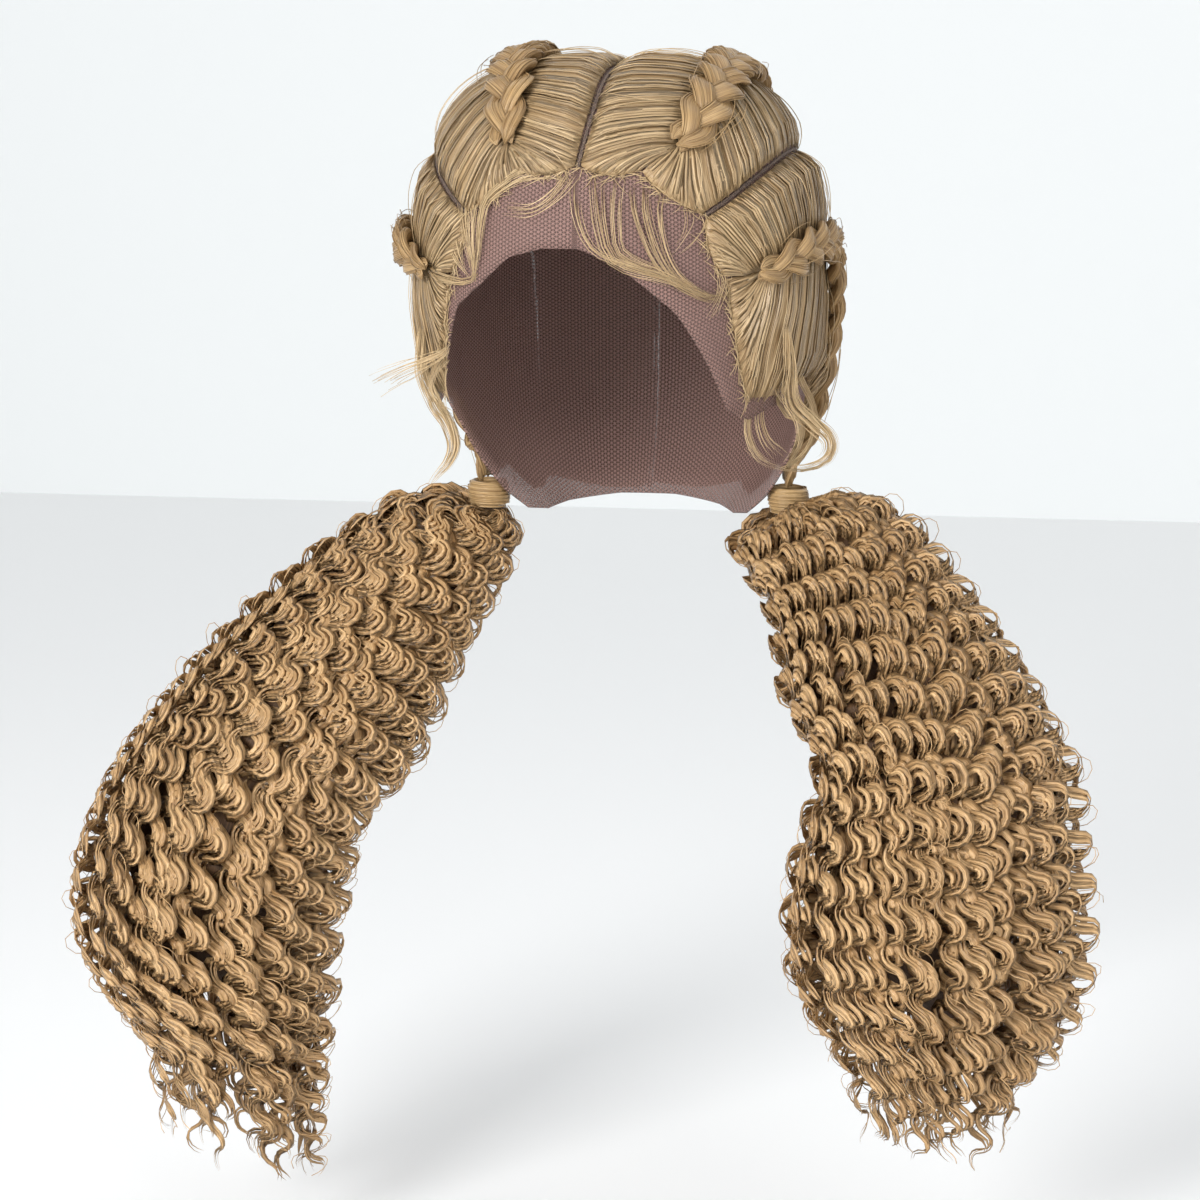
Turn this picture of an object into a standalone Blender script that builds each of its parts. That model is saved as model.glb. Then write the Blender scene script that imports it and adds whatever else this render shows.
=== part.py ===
"""Braided curly wig in its worn form: a lace front cap, combed hair panels, four
braids drawn into two wrapped ties, and a big curly ponytail from each tie.

Metres, +Z up. The wearer looks along -Y and the wearer's left is +X. The origin is
the inside of the cap's crown, where the wig sits on the top of a head.

Tables give places about the head centre as shares of the head form: x of its half
width, y of its depth on that side, and z of its height on that side.
"""
import math

import bpy
from mathutils import Vector

# Head form inside the cap, measured from the head centre.
HALF_WIDTH = 0.080
FRONT_DEPTH = 0.094
BACK_DEPTH = 0.100
CROWN_HEIGHT = 0.0965
NAPE_DEPTH = 0.125
PLAN_POWER = 2.2          # roundness seen from above, 2 is an ellipse
CROWN_POWER = 3.2         # squareness of the crown seen from the front
NAPE_POWER = 2.7
CHEEK_TAPER = 0.20        # narrowing of the face below eye level
CHEEK_DROP = 0.060        # height below eye level at which it is complete
HEAD_CENTRE = Vector((0, 0, -CROWN_HEIGHT))
NORMAL_STEP = 0.001       # lift used to read a surface normal
SPLINE_STEPS = 12         # points between two rows of a table when a curve is measured
FALL_RANGE = (0.05, 2.84)  # angles down from the crown where the cap's edge is looked for
HALVINGS = 40             # of that range

# Cap
CAP_WALL = 0.0012
CAP_ROWS = 9
EDGE_STEP = 9             # degrees between the columns of the cap
# Height of the cap's cut edge from the middle of the forehead to the middle of the nape.
# degrees: (z on the wearer's left, z on the wearer's right)
CAP_EDGE = {
    0: (0.27, 0.27), 9: (0.21, 0.27), 18: (0.09, 0.23), 27: (-0.04, 0.11),
    36: (-0.18, 0.01), 45: (-0.33, -0.15), 54: (-0.37, -0.3), 63: (-0.34, -0.34),
    72: (-0.33, -0.33), 81: (-0.32, -0.32), 90: (-0.33, -0.33), 99: (-0.37, -0.37),
    108: (-0.46, -0.46), 117: (-0.6, -0.6), 126: (-0.72, -0.72), 135: (-0.79, -0.79),
    144: (-0.8, -0.8), 153: (-0.78, -0.78), 162: (-0.77, -0.77), 171: (-0.76, -0.76),
    180: (-0.76, -0.76),
}

# Combed hair panels
PANEL_CLEARANCE = 0.00115  # from the outside of the cap
PANEL_THIN = 0.0014       # at the partings and the hairline
TOP_PANEL = {"under_braid": 0.0020, "beside_braid": 0.0038}
LEFT_SIDE_PANEL = {"under_braid": 0.0052, "beside_braid": 0.0064}
RIGHT_SIDE_PANEL = {"under_braid": 0.0032, "beside_braid": 0.0040}
FULL_SPACING = 0.013      # narrower panels than six of these swell less
HAIRLINE_SWELL = 0.3      # share of the swelling at the hairline
SWELL_ROWS = 3            # rows from the hairline to the full swelling
NAPE_SWELL = 0.10         # share of the swelling left where a panel nears the nape
NAPE_FADE = (0.5, 0.7)    # shares of the way back between which it fades to that
PANEL_RIDGE = 0.0005      # combed ridges
PART_HALF_GAP = 0.0008    # half the width of a parting
PANEL_ALONG = 26
PANEL_ACROSS = 6
SHORTEST_ROW = 0.004      # a row across a panel is never taken as shorter than this

# Lines on the scalp, front to back: x, y, z. Lines with no side in their name are the
# wearer's left, mirrored for the right.
CENTRE_PART = [
    (-0.01, -0.96, 0.62), (0.02, -0.89, 0.76), (0.04, -0.78, 0.88), (0.05, -0.47, 1.02),
    (0.04, -0.11, 1.02), (0.03, 0.3, 0.99), (0.01, 0.6, 0.87), (0, 0.84, 0.57),
    (0, 0.97, 0.1), (0, 0.98, -0.24), (0, 0.88, -0.56), (0, 0.8, -0.73),
]
SIDE_PART = [
    (0.61, -0.84, 0.41), (0.72, -0.73, 0.48), (0.85, -0.54, 0.58), (0.94, -0.15, 0.66),
    (0.93, 0.25, 0.65), (0.8, 0.6, 0.54), (0.68, 0.8, 0.26), (0.65, 0.85, -0.12),
    (0.62, 0.82, -0.4), (0.54, 0.72, -0.73),
]
LEFT_TOP_CREST = [
    (0.3, -0.94, 0.6), (0.46, -0.86, 0.7), (0.55, -0.8, 0.79), (0.6, -0.64, 0.89),
    (0.62, -0.33, 0.97), (0.62, 0, 1.02), (0.6, 0.25, 0.98), (0.54, 0.52, 0.85),
    (0.45, 0.76, 0.58), (0.38, 0.91, 0.21), (0.36, 0.95, -0.16), (0.36, 0.9, -0.44),
    (0.29, 0.79, -0.73),
]
RIGHT_TOP_CREST = [
    (-0.33, -0.93, 0.6), (-0.38, -0.89, 0.7), (-0.4, -0.86, 0.79), (-0.41, -0.72, 0.9),
    (-0.45, -0.43, 0.99), (-0.49, -0.05, 1.02), (-0.5, 0.25, 0.98), (-0.49, 0.52, 0.85),
    (-0.44, 0.76, 0.58), (-0.38, 0.91, 0.21), (-0.36, 0.95, -0.16), (-0.36, 0.9, -0.44),
    (-0.29, 0.79, -0.73),
]
SIDE_CREST = [
    (0.71, -0.79, 0.15), (0.82, -0.72, 0.17), (0.91, -0.65, 0.19), (0.99, -0.51, 0.24),
    (1.05, -0.26, 0.28), (1.07, 0.02, 0.26), (1.06, 0.2, 0.12), (1.02, 0.32, -0.08),
    (0.95, 0.44, -0.27), (0.82, 0.55, -0.48), (0.57, 0.66, -0.74),
]
EAR_EDGE = [
    (0.84, -0.53, -0.29), (0.9, -0.39, -0.3), (0.96, -0.16, -0.29), (0.99, 0.08, -0.3),
    (0.95, 0.3, -0.4), (0.85, 0.46, -0.54), (0.72, 0.56, -0.67), (0.59, 0.6, -0.75),
]

# Braids: strand period and the swing, rise and size of the three strands. flatness is
# the height of a braid over the height of three round strands.
STRAND_PERIOD = 0.048
BRAID_SIDES = 8
BRAID_RING_STEP = 0.0062
BRAID_GAP = 0.0006        # from the panel under it
TOP_STRANDS = {"swing": 0.0060, "rise": 0.0012, "radius": 0.0052, "flatness": 0.62}
SIDE_STRANDS = {"swing": 0.0046, "rise": 0.0010, "radius": 0.0042, "flatness": 0.80}
BRAID_START_SCALE = 0.55
BRAID_END_SHARE = 0.47    # half width of a braid's end, of the radius of the tie
TAPER_LENGTH = 0.028
END_RUN = 0.010           # straight run of a braid into the tie
END_FLARE = 1.80          # how much further apart two braids are before that run
NOSE_LENGTH = 0.002

# Where the braids leave their crests and fall to the tie: x, y, z, hug. hug is 1 where
# the braid lies on the hair and 0 where it hangs free.
TOP_LEAVES, SIDE_LEAVES = 11, 7   # rows of the crests that the braids follow
TOP_FALL = [(0.45, 0.92, -0.37, 0.9), (0.62, 0.88, -0.52, 0.2), (0.81, 0.75, -0.6, 0)]
SIDE_FALL = [
    (1.05, 0.33, -0.08, 1), (1.05, 0.43, -0.23, 0.5), (1.01, 0.49, -0.36, 0),
    (0.96, 0.52, -0.48, 0), (0.9, 0.49, -0.58, 0),
]

# Hair wrapped round the braid ends
WRAP_PLACE = (0.85, 0.51, -0.744)
WRAP_AXIS = Vector((0, 0, -1))
WRAP_SPREAD = Vector((-0.15, 0.99, 0.0)).normalized()
WRAP_RADIUS = 0.0092
WRAP_LENGTH = 0.013
WRAP_TURN = 0.0006        # depth of the wound ridges
WRAP_SHOULDER = 0.001     # rounding of the two ends
WRAP_RINGS = 6
WRAP_SIDES = 12
WRAP_GAP = 0.0005         # to the braids above and the ponytail below
BRAID_END_OFFSET = 0.53   # of the radius, from the middle of the tie

# Ponytails, in shares of the sizes below, counted from the tie: fall of the middle,
# side of the inner edge, side of the outer edge, rise of the outer edge over the inner,
# forward place, half depth.
LEFT_SIZE = {"length": 0.227, "spread": 0.140, "tip": 0.038}
RIGHT_SIZE = {"length": 0.234, "spread": 0.170, "tip": 0.058}
TAIL_FORWARD = 0.096
TAIL_HALF_DEPTH = 0.040
NECK_SHARE = 0.87         # width of a ponytail at the tie, of the tie's
LEFT_TAIL = [
    (0, -0.1, 0.16, 0.04, 0.02, 0.42), (0.01, -0.16, 0.29, 0.07, 0.07, 0.65),
    (0.05, -0.15, 0.41, 0.08, 0.14, 0.8), (0.11, -0.07, 0.52, 0.06, 0.25, 0.88),
    (0.16, -0.03, 0.62, 0.05, 0.38, 0.93), (0.22, 0, 0.72, 0.04, 0.53, 0.95),
    (0.29, 0.03, 0.82, 0.03, 0.67, 0.95), (0.36, 0.11, 0.89, 0.02, 0.8, 0.95),
    (0.42, 0.15, 0.95, 0.01, 0.88, 0.95), (0.5, 0.13, 0.96, 0.01, 0.93, 0.95),
    (0.59, 0.09, 0.98, 0.01, 0.97, 0.97), (0.68, 0.07, 1, 0.02, 0.99, 0.97),
    (0.78, 0.09, 1, 0.03, 1, 0.95), (0.86, 0.15, 0.97, 0.02, 1, 0.88),
    (0.93, 0.22, 0.91, 0.01, 0.99, 0.78), (1, 0.28, 0.81, 0, 0.97, 0.65),
]
RIGHT_TAIL = [
    (0.01, -0.07, 0.14, 0.04, 0.02, 0.42), (0.03, -0.06, 0.24, 0.07, 0.07, 0.65),
    (0.08, -0.04, 0.34, 0.09, 0.14, 0.8), (0.14, 0, 0.44, 0.11, 0.25, 0.88),
    (0.2, 0.03, 0.53, 0.11, 0.38, 0.93), (0.26, 0.06, 0.61, 0.12, 0.51, 0.95),
    (0.32, 0.09, 0.69, 0.12, 0.63, 0.97), (0.39, 0.13, 0.76, 0.13, 0.74, 1),
    (0.45, 0.21, 0.83, 0.12, 0.81, 1), (0.53, 0.26, 0.9, 0.12, 0.86, 1),
    (0.62, 0.27, 0.96, 0.1, 0.89, 1), (0.71, 0.3, 0.99, 0.09, 0.91, 0.97),
    (0.81, 0.31, 0.98, 0.06, 0.92, 0.93), (0.9, 0.32, 0.91, 0.04, 0.92, 0.85),
    (0.99, 0.34, 0.81, 0.03, 0.91, 0.72),
]
LOCKS = 11                # locks round a ponytail
LOCK_VALLEY = 0.87        # depth of the grooves between locks
TAIL_RINGS = 33
TAIL_TWIST = 0.6          # radians from the tie to the tips
SCALLOP_LENGTH = 0.030    # length of one wave of a lock
SCALLOP = 0.05            # its height as a share of the radius
SCALLOP_SHIFT = 2.3       # radians from one lock to the next
GROWN_RING = 4            # first ring with full locks
TIP_SECTIONS = 4
TIP_START = 0.25          # share of a section from the root of a tip to its first ring
TIP_WAVE = 0.005
TIP_LOCK_TURN = 2.4       # radians of that wave from one lock to the next
TIP_TURN = 2.2            # and from one section to the next
TIP_WIDTH = 0.86          # width of a tip at its first ring, of its root
TIP_LEVEL = 0.25          # slope of its rings, of the slope of its root
TIP_SLIMMING = 0.80       # width lost from the root of a tip to its end
# length of the tip under each lock, of the longest
LEFT_TIPS = (0.6, 0.8, 0.9, 0.75, 0.95, 0.8, 0.55, 0.8, 1, 0.8, 0.9)
RIGHT_TIPS = (0.35, 0.6, 0.75, 1, 0.85, 0.7, 0.45, 0.7, 0.95, 0.8, 0.6)

# Loose curls in front of the ears: x, y, z, radius as a share of the next size, hug.
CURL_RADIUS = 0.0026
LEFT_CURL = [
    (0.9, -0.53, -0.06, 0.46, 1), (0.91, -0.5, -0.13, 0.77, 1),
    (0.95, -0.45, -0.22, 0.92, 0.8), (1.01, -0.4, -0.33, 1, 0),
    (1.1, -0.36, -0.39, 0.92, 0), (1.19, -0.34, -0.45, 0.85, 0),
    (1.17, -0.34, -0.51, 0.77, 0), (1.06, -0.35, -0.54, 0.54, 0),
    (0.96, -0.36, -0.53, 0.31, 0),
]
RIGHT_CURL = [
    (-0.85, -0.61, -0.08, 0.46, 1), (-0.86, -0.57, -0.14, 0.69, 1),
    (-0.9, -0.53, -0.23, 0.85, 1), (-0.88, -0.51, -0.33, 0.88, 0),
    (-0.81, -0.49, -0.41, 0.81, 0), (-0.78, -0.48, -0.48, 0.69, 0),
    (-0.81, -0.48, -0.54, 0.54, 0), (-0.89, -0.48, -0.6, 0.38, 0),
    (-0.93, -0.48, -0.65, 0.27, 0),
]
CURL_SIDES = 5
CURL_RINGS = 16

COLOURS = {  # name: (linear RGB, roughness)
    "lace": ((0.205, 0.115, 0.105), 0.75),
    "blonde_combed_hair": ((0.56, 0.37, 0.17), 0.45),
    "blonde_braided_hair": ((0.50, 0.31, 0.13), 0.45),
    "blonde_curly_hair": ((0.53, 0.34, 0.15), 0.50),
    "blonde_wrapped_hair": ((0.62, 0.42, 0.21), 0.38),
    "blonde_fine_hair": ((0.62, 0.44, 0.23), 0.50),
}


def place(x, y, z):
    """Vector from the head centre for shares of the head form."""
    return Vector((x * HALF_WIDTH, y * (FRONT_DEPTH if y < 0 else BACK_DEPTH),
                   z * (CROWN_HEIGHT if z > 0 else NAPE_DEPTH)))


def placed(rows):
    """Rows with their first three shares turned into metres from the head centre."""
    return [(*place(*row[:3]), *row[3:]) for row in rows]


def scalp(aim, lift=0.0):
    """Point on the head form in the direction of aim, lifted along the surface normal."""
    away = Vector(aim[:3]).normalized()
    depth = FRONT_DEPTH if away.y < 0 else BACK_DEPTH
    height, power = (CROWN_HEIGHT, CROWN_POWER) if away.z > 0 else (NAPE_DEPTH, NAPE_POWER)
    x, y, z = abs(away.x / HALF_WIDTH), abs(away.y / depth), abs(away.z / height)
    plan = x ** PLAN_POWER + y ** PLAN_POWER
    reach = (plan ** (power / PLAN_POWER) + z ** power) ** (-1 / power)
    spread = plan ** (power / PLAN_POWER - 1) if plan > 0 else 0.0
    normal = Vector((
        math.copysign(spread * x ** (PLAN_POWER - 1) / HALF_WIDTH, away.x),
        math.copysign(spread * y ** (PLAN_POWER - 1) / depth, away.y),
        math.copysign(z ** (power - 1) / height, away.z))).normalized()
    point = away * reach + normal * lift
    forward = min(1, max(0, -point.y / FRONT_DEPTH))
    below = min(1, max(0, -point.z / CHEEK_DROP))
    point.x *= 1 - CHEEK_TAPER * forward * below
    return HEAD_CENTRE + point


def normal_at(aim):
    """Outward normal of the head form in the direction of aim."""
    return (scalp(aim, NORMAL_STEP) - scalp(aim)).normalized()


def smooth(rows, count):
    """count + 1 rows evenly spaced along a smooth curve through the given rows."""
    rows = [tuple(float(v) for v in row) for row in rows]
    dense = []
    for i in range(len(rows) - 1):
        a, b = rows[max(i - 1, 0)], rows[i]
        c, d = rows[i + 1], rows[min(i + 2, len(rows) - 1)]
        for k in range(SPLINE_STEPS):
            t = k / SPLINE_STEPS
            dense.append(tuple(
                0.5 * (2 * q + (r - p) * t + (2 * p - 5 * q + 4 * r - s) * t * t
                       + (3 * q - p - 3 * r + s) * t ** 3)
                for p, q, r, s in zip(a, b, c, d)))
    dense.append(rows[-1])
    travelled = [0.0]
    for a, b in zip(dense, dense[1:]):
        travelled.append(travelled[-1] + math.dist(a[:3], b[:3]))
    out, k = [], 0
    for i in range(count + 1):
        want = travelled[-1] * i / count
        while k < len(dense) - 2 and travelled[k + 1] < want:
            k += 1
        share = (want - travelled[k]) / max(travelled[k + 1] - travelled[k], 1e-9)
        out.append(tuple(a + (b - a) * share for a, b in zip(dense[k], dense[k + 1])))
    return out


def mirrored(rows):
    return [(-row[0],) + tuple(row[1:]) for row in rows]


def material(name):
    found = bpy.data.materials.get(name)
    if found:
        return found
    colour, roughness = COLOURS[name]
    found = bpy.data.materials.new(name)
    found.use_nodes = True
    shader = found.node_tree.nodes["Principled BSDF"]
    shader.inputs["Base Color"].default_value = (*colour, 1)
    shader.inputs["Roughness"].default_value = roughness
    found.diffuse_color = (*colour, 1)
    return found


def solid(name, points, faces, origin, finish, parent):
    """One closed triangle body whose own origin is at origin."""
    mesh = bpy.data.meshes.new(name)
    mesh.from_pydata([p - origin for p in points], [], faces)
    mesh.materials.append(material(finish))
    mesh.update()
    body = bpy.data.objects.new(name, mesh)
    body.location = origin
    body.parent = parent
    bpy.context.scene.collection.objects.link(body)
    return body


def outward(points, faces):
    """The same faces, turned over if they enclose a negative volume."""
    volume = sum(points[a].dot(points[b].cross(points[c])) for a, b, c in faces)
    return faces if volume > 0 else [(a, c, b) for a, b, c in faces]


def band(lower, upper):
    """Triangles between two closed loops of point numbers."""
    faces = []
    for i in range(len(lower)):
        j = (i + 1) % len(lower)
        faces += [(lower[i], lower[j], upper[j]), (lower[i], upper[j], upper[i])]
    return faces


def fan(loop, tip, reverse=False):
    faces = [(loop[i], loop[(i + 1) % len(loop)], tip) for i in range(len(loop))]
    return [(b, a, c) for a, b, c in faces] if reverse else faces


def loft(rings, start, end):
    """Closed body through rings of points, closed to the points start and end."""
    points, faces, loops = [], [], []
    for ring in rings:
        loops.append(list(range(len(points), len(points) + len(ring))))
        points += ring
    for lower, upper in zip(loops, loops[1:]):
        faces += band(lower, upper)
    points += [start, end]
    faces += fan(loops[0], len(points) - 2, reverse=True) + fan(loops[-1], len(points) - 1)
    return points, outward(points, faces)


def edge_height(degrees):
    """Height of the cap's edge at an angle from the front, positive to the left."""
    turn = (degrees + 180) % 360 - 180
    side = 0 if turn >= 0 else 1
    step = min(int(abs(turn) // EDGE_STEP) * EDGE_STEP, 180 - EDGE_STEP)
    share = (abs(turn) - step) / EDGE_STEP
    height = CAP_EDGE[step][side] * (1 - share) + CAP_EDGE[step + EDGE_STEP][side] * share
    return place(0, 0, height).z


def fall_to(degrees, height):
    """Angle down from the crown at which the head form is at the given height."""
    low, high = FALL_RANGE
    for _ in range(HALVINGS):
        angle = (low + high) / 2
        if scalp(facing(degrees, angle)).z - HEAD_CENTRE.z > height:
            low = angle
        else:
            high = angle
    return angle


def facing(degrees, fall):
    turn = math.radians(degrees)
    return Vector((math.sin(turn) * math.sin(fall), -math.cos(turn) * math.sin(fall),
                   math.cos(fall)))


def lace_cap(parent):
    columns = range(0, 360, EDGE_STEP)
    fall = [fall_to(d, edge_height(d)) for d in columns]
    points, faces, loops = [], [], {}
    for side, lift in (("outer", CAP_WALL), ("inner", 0.0)):
        for row in range(1, CAP_ROWS + 1):
            loops[side, row] = list(range(len(points), len(points) + len(columns)))
            points += [scalp(facing(d, f * row / CAP_ROWS), lift)
                       for d, f in zip(columns, fall)]
        points.append(scalp((0, 0, 1), lift))
        apex = len(points) - 1
        flip = side == "inner"
        faces += fan(loops[side, 1], apex, reverse=not flip)
        for row in range(1, CAP_ROWS):
            quads = band(loops[side, row], loops[side, row + 1])
            faces += quads if not flip else [(b, a, c) for a, b, c in quads]
    faces += band(loops["outer", CAP_ROWS], loops["inner", CAP_ROWS])
    return solid("lace_cap", points, outward(points, faces), Vector((0, 0, 0)), "lace", parent)


def panel(name, first, crest, last, swell, parent):
    """Combed hair between two lines on the scalp, full on both sides of the braid
    and pressed flat under it."""
    lines = [smooth(placed(rows), PANEL_ALONG) for rows in (first, crest, last)]
    grid, points = {}, []
    for i in range(PANEL_ALONG + 1):
        a, m, b = (scalp(line[i]) - HEAD_CENTRE for line in lines)
        rise = min(1, i / SWELL_ROWS)
        back = (i / PANEL_ALONG - NAPE_FADE[0]) / (NAPE_FADE[1] - NAPE_FADE[0])
        low = 1 - (1 - NAPE_SWELL) * min(1, max(0, back))
        for j in range(PANEL_ACROSS + 1):
            share = 2 * j / PANEL_ACROSS
            left, right, part = (a, m, share) if share <= 1 else (b, m, 2 - share)
            width = max((left - right).length, SHORTEST_ROW)
            part = max(part, PART_HALF_GAP / width)
            aim = left.lerp(right, part)
            thick = PANEL_THIN
            if j == PANEL_ACROSS // 2:
                thick += (swell["under_braid"] - PANEL_THIN) * rise * low
            elif 0 < j < PANEL_ACROSS:
                full = min(1, HAIRLINE_SWELL + rise)
                full *= min(1, 2 * width / PANEL_ACROSS / FULL_SPACING)
                thick += (swell["beside_braid"] - PANEL_THIN) * full * low
                thick += PANEL_RIDGE * (-1) ** i * rise
            for side, lift in (("inner", CAP_WALL + PANEL_CLEARANCE),
                               ("outer", CAP_WALL + PANEL_CLEARANCE + thick)):
                grid[side, i, j] = len(points)
                points.append(scalp(aim, lift))
    faces = []
    for i in range(PANEL_ALONG):
        for j in range(PANEL_ACROSS):
            for side in ("inner", "outer"):
                a, b = grid[side, i, j], grid[side, i + 1, j]
                c, d = grid[side, i + 1, j + 1], grid[side, i, j + 1]
                quad = [(a, b, c), (a, c, d)]
                faces += quad if side == "outer" else [(y, x, z) for x, y, z in quad]
    rim = ([(i, 0) for i in range(PANEL_ALONG)]
           + [(PANEL_ALONG, j) for j in range(PANEL_ACROSS)]
           + [(i, PANEL_ACROSS) for i in range(PANEL_ALONG, 0, -1)]
           + [(0, j) for j in range(PANEL_ACROSS, 0, -1)])
    inner = [grid["inner", i, j] for i, j in rim]
    outer = [grid["outer", i, j] for i, j in rim]
    faces += [(b, a, c) for a, b, c in band(outer, inner)]
    origin = points[grid["outer", 0, PANEL_ACROSS // 2]]
    return solid(name, points, outward(points, faces), origin, "blonde_combed_hair", parent)


def braid_reach(strands, phase, angle):
    """Distance from the middle of a braid to its outside in one direction."""
    way = (math.cos(angle), math.sin(angle))
    best = 0.0
    for k in range(3):
        turn = phase + math.tau * k / 3
        x, z = strands["swing"] * math.sin(turn), strands["rise"] * math.sin(2 * turn)
        along = way[0] * x + way[1] * z
        rest = strands["radius"] ** 2 - (x * x + z * z - along * along)
        if rest >= 0:
            best = max(best, along + math.sqrt(rest))
    return best


def tie(side):
    """Middle and axis of the wrapped tie on one side, and the line its two braids share."""
    flip = Vector((side, 1, 1))
    return (HEAD_CENTRE + place(*WRAP_PLACE) * flip, WRAP_AXIS * flip, WRAP_SPREAD * flip)


def braid(name, crest, fall, strands, under, end_side, side, parent):
    """Three strand braid that lies along a crest and then falls to the tie."""
    centre, axis, spread = tie(side)
    offset = spread * (BRAID_END_OFFSET * WRAP_RADIUS * end_side)
    end = centre - axis * (WRAP_LENGTH / 2 + WRAP_GAP) - HEAD_CENTRE
    rows = placed([(*row, 1) for row in crest] + fall)
    rows += [(*(end - axis * END_RUN + offset * END_FLARE), 0), (*(end + offset), 0)]
    length = sum(math.dist(a[:3], b[:3]) for a, b in zip(rows, rows[1:]))
    count = round(length / BRAID_RING_STEP)
    half_height = (strands["rise"] + strands["radius"]) * strands["flatness"]
    end_scale = BRAID_END_SHARE * WRAP_RADIUS / (strands["swing"] + strands["radius"])
    rest = CAP_WALL + PANEL_CLEARANCE + under + BRAID_GAP
    path = []
    for i, (x, y, z, hug) in enumerate(smooth(rows, count)):
        travelled = length * i / count
        scale = min(1, BRAID_START_SCALE + (1 - BRAID_START_SCALE) * travelled / TAPER_LENGTH,
                    end_scale + (1 - end_scale) * (length - travelled) / TAPER_LENGTH)
        lying = scalp((x, y, z), rest + half_height * scale)
        free = HEAD_CENTRE + Vector((x, y, z))
        point = free.lerp(lying, min(1, max(0, hug)))
        path.append((point, normal_at((x, y, z)), scale, travelled))
    rings = []
    for i, (point, normal, scale, travelled) in enumerate(path):
        ahead = path[min(i + 1, count)][0] - path[max(i - 1, 0)][0]
        ahead = axis if i == count else ahead.normalized()
        wide = ahead.cross(normal).normalized()
        high = wide.cross(ahead) * strands["flatness"]
        phase = math.tau * travelled / STRAND_PERIOD
        ring = []
        for k in range(BRAID_SIDES):
            angle = math.tau * k / BRAID_SIDES
            reach = braid_reach(strands, phase, angle) * scale
            ring.append(point + wide * (math.cos(angle) * reach) + high * (math.sin(angle) * reach))
        rings.append(ring)
    nose = path[0][0] + (path[0][0] - path[1][0]).normalized() * NOSE_LENGTH
    points, faces = loft(rings, nose, path[-1][0])
    return solid(name, points, faces, path[0][0], "blonde_braided_hair", parent)


def hair_wrap(name, side, parent):
    """Hair wound round the braid ends."""
    centre, axis, _ = tie(side)
    wide = axis.cross(Vector((0, 1, 0))).normalized()
    deep = axis.cross(wide)
    rings = []
    for i in range(WRAP_RINGS + 1):
        along = WRAP_LENGTH * (i / WRAP_RINGS - 0.5)
        radius = WRAP_RADIUS - (WRAP_TURN if i % 2 else 0)
        radius -= WRAP_SHOULDER if i in (0, WRAP_RINGS) else 0
        rings.append([centre + axis * along
                      + wide * (math.cos(math.tau * k / WRAP_SIDES) * radius)
                      + deep * (math.sin(math.tau * k / WRAP_SIDES) * radius)
                      for k in range(WRAP_SIDES)])
    half = axis * (WRAP_LENGTH / 2)
    points, faces = loft(rings, centre - half, centre + half)
    return solid(name, points, faces, centre, "blonde_wrapped_hair", parent)


def tail_rows(rows, size, side):
    """Middle, half width vector and half depth of each section of a ponytail."""
    centre, axis, _ = tie(side)
    top = centre + axis * (WRAP_LENGTH / 2 + WRAP_GAP)
    neck = NECK_SHARE * WRAP_RADIUS
    out = [(*top, side * neck, 0, neck)]
    for fall, inner, outer, rise, forward, deep in rows:
        inner, outer = inner * size["spread"], outer * size["spread"]
        out.append((top.x + side * (inner + outer) / 2, top.y - forward * TAIL_FORWARD,
                    top.z - fall * size["length"], side * (outer - inner) / 2,
                    rise * size["length"] / 2, deep * TAIL_HALF_DEPTH))
    return out


def ponytail(name, rows, size, tips, side, parent):
    """Bundle of wavy locks that fans out from the tie and ends in single tips."""
    rows = tail_rows(rows, size, side)
    sides = 2 * LOCKS
    points, faces, loops = [], [], []
    travelled, before = 0.0, Vector(rows[0][:3])
    for i, (x, y, z, wide_x, wide_z, deep) in enumerate(smooth(rows, TAIL_RINGS)):
        centre = Vector((x, y, z))
        travelled += (centre - before).length
        before = centre
        grown = min(1, i / GROWN_RING)
        loop = []
        for k in range(sides):
            angle = math.tau * k / sides + side * TAIL_TWIST * i / TAIL_RINGS
            reach = 1 - (1 - LOCK_VALLEY) * grown
            if k % 2:
                wave = math.tau * travelled / SCALLOP_LENGTH + SCALLOP_SHIFT * (k // 2)
                reach = 1 + SCALLOP * grown * math.cos(wave)
            loop.append(len(points))
            points.append(centre + Vector((wide_x, 0, wide_z)) * (math.cos(angle) * reach)
                          + Vector((0, deep, 0)) * (math.sin(angle) * reach))
        loops.append(loop)
    for lower, upper in zip(loops, loops[1:]):
        faces += band(lower, upper)
    points.append(Vector(rows[0][:3]))
    faces += fan(loops[0], len(points) - 1, reverse=True)

    middle = len(points)
    points.append(sum((points[k] for k in loops[-1]), Vector()) / sides)
    for lock, share in enumerate(tips):
        last, length = loops[-1], share * size["tip"]
        kite = [last[2 * lock], last[2 * lock + 1], last[(2 * lock + 2) % sides], middle]
        faces += tip(points, kite, length, lock)
    origin = Vector(rows[0][:3])
    return solid(name, points, outward(points, faces), origin, "blonde_curly_hair", parent)


def tip(points, kite, length, lock):
    """Single curl that hangs from one face of a ponytail's end; adds to points."""
    root = sum((points[k] for k in kite), Vector()) / len(kite)
    shape = [points[k] - root for k in kite]
    faces, loop = [], kite
    for n in range(TIP_SECTIONS):
        along = (n + TIP_START) / TIP_SECTIONS
        turn = TIP_LOCK_TURN * lock + TIP_TURN * n
        shift = Vector((math.cos(turn), math.sin(turn), 0)) * (TIP_WAVE * (n > 0))
        shift.z = -length * along
        slim = TIP_WIDTH * (1 - TIP_SLIMMING * along)
        ring = []
        for offset in shape:
            ring.append(len(points))
            level = Vector((offset.x, offset.y, TIP_LEVEL * offset.z))
            points.append(root + shift + level * slim)
        faces += band(loop, ring)
        loop = ring
    points.append(root + shift - Vector((0, 0, length * (1 - along))))
    return faces + fan(loop, len(points) - 1)


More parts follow.
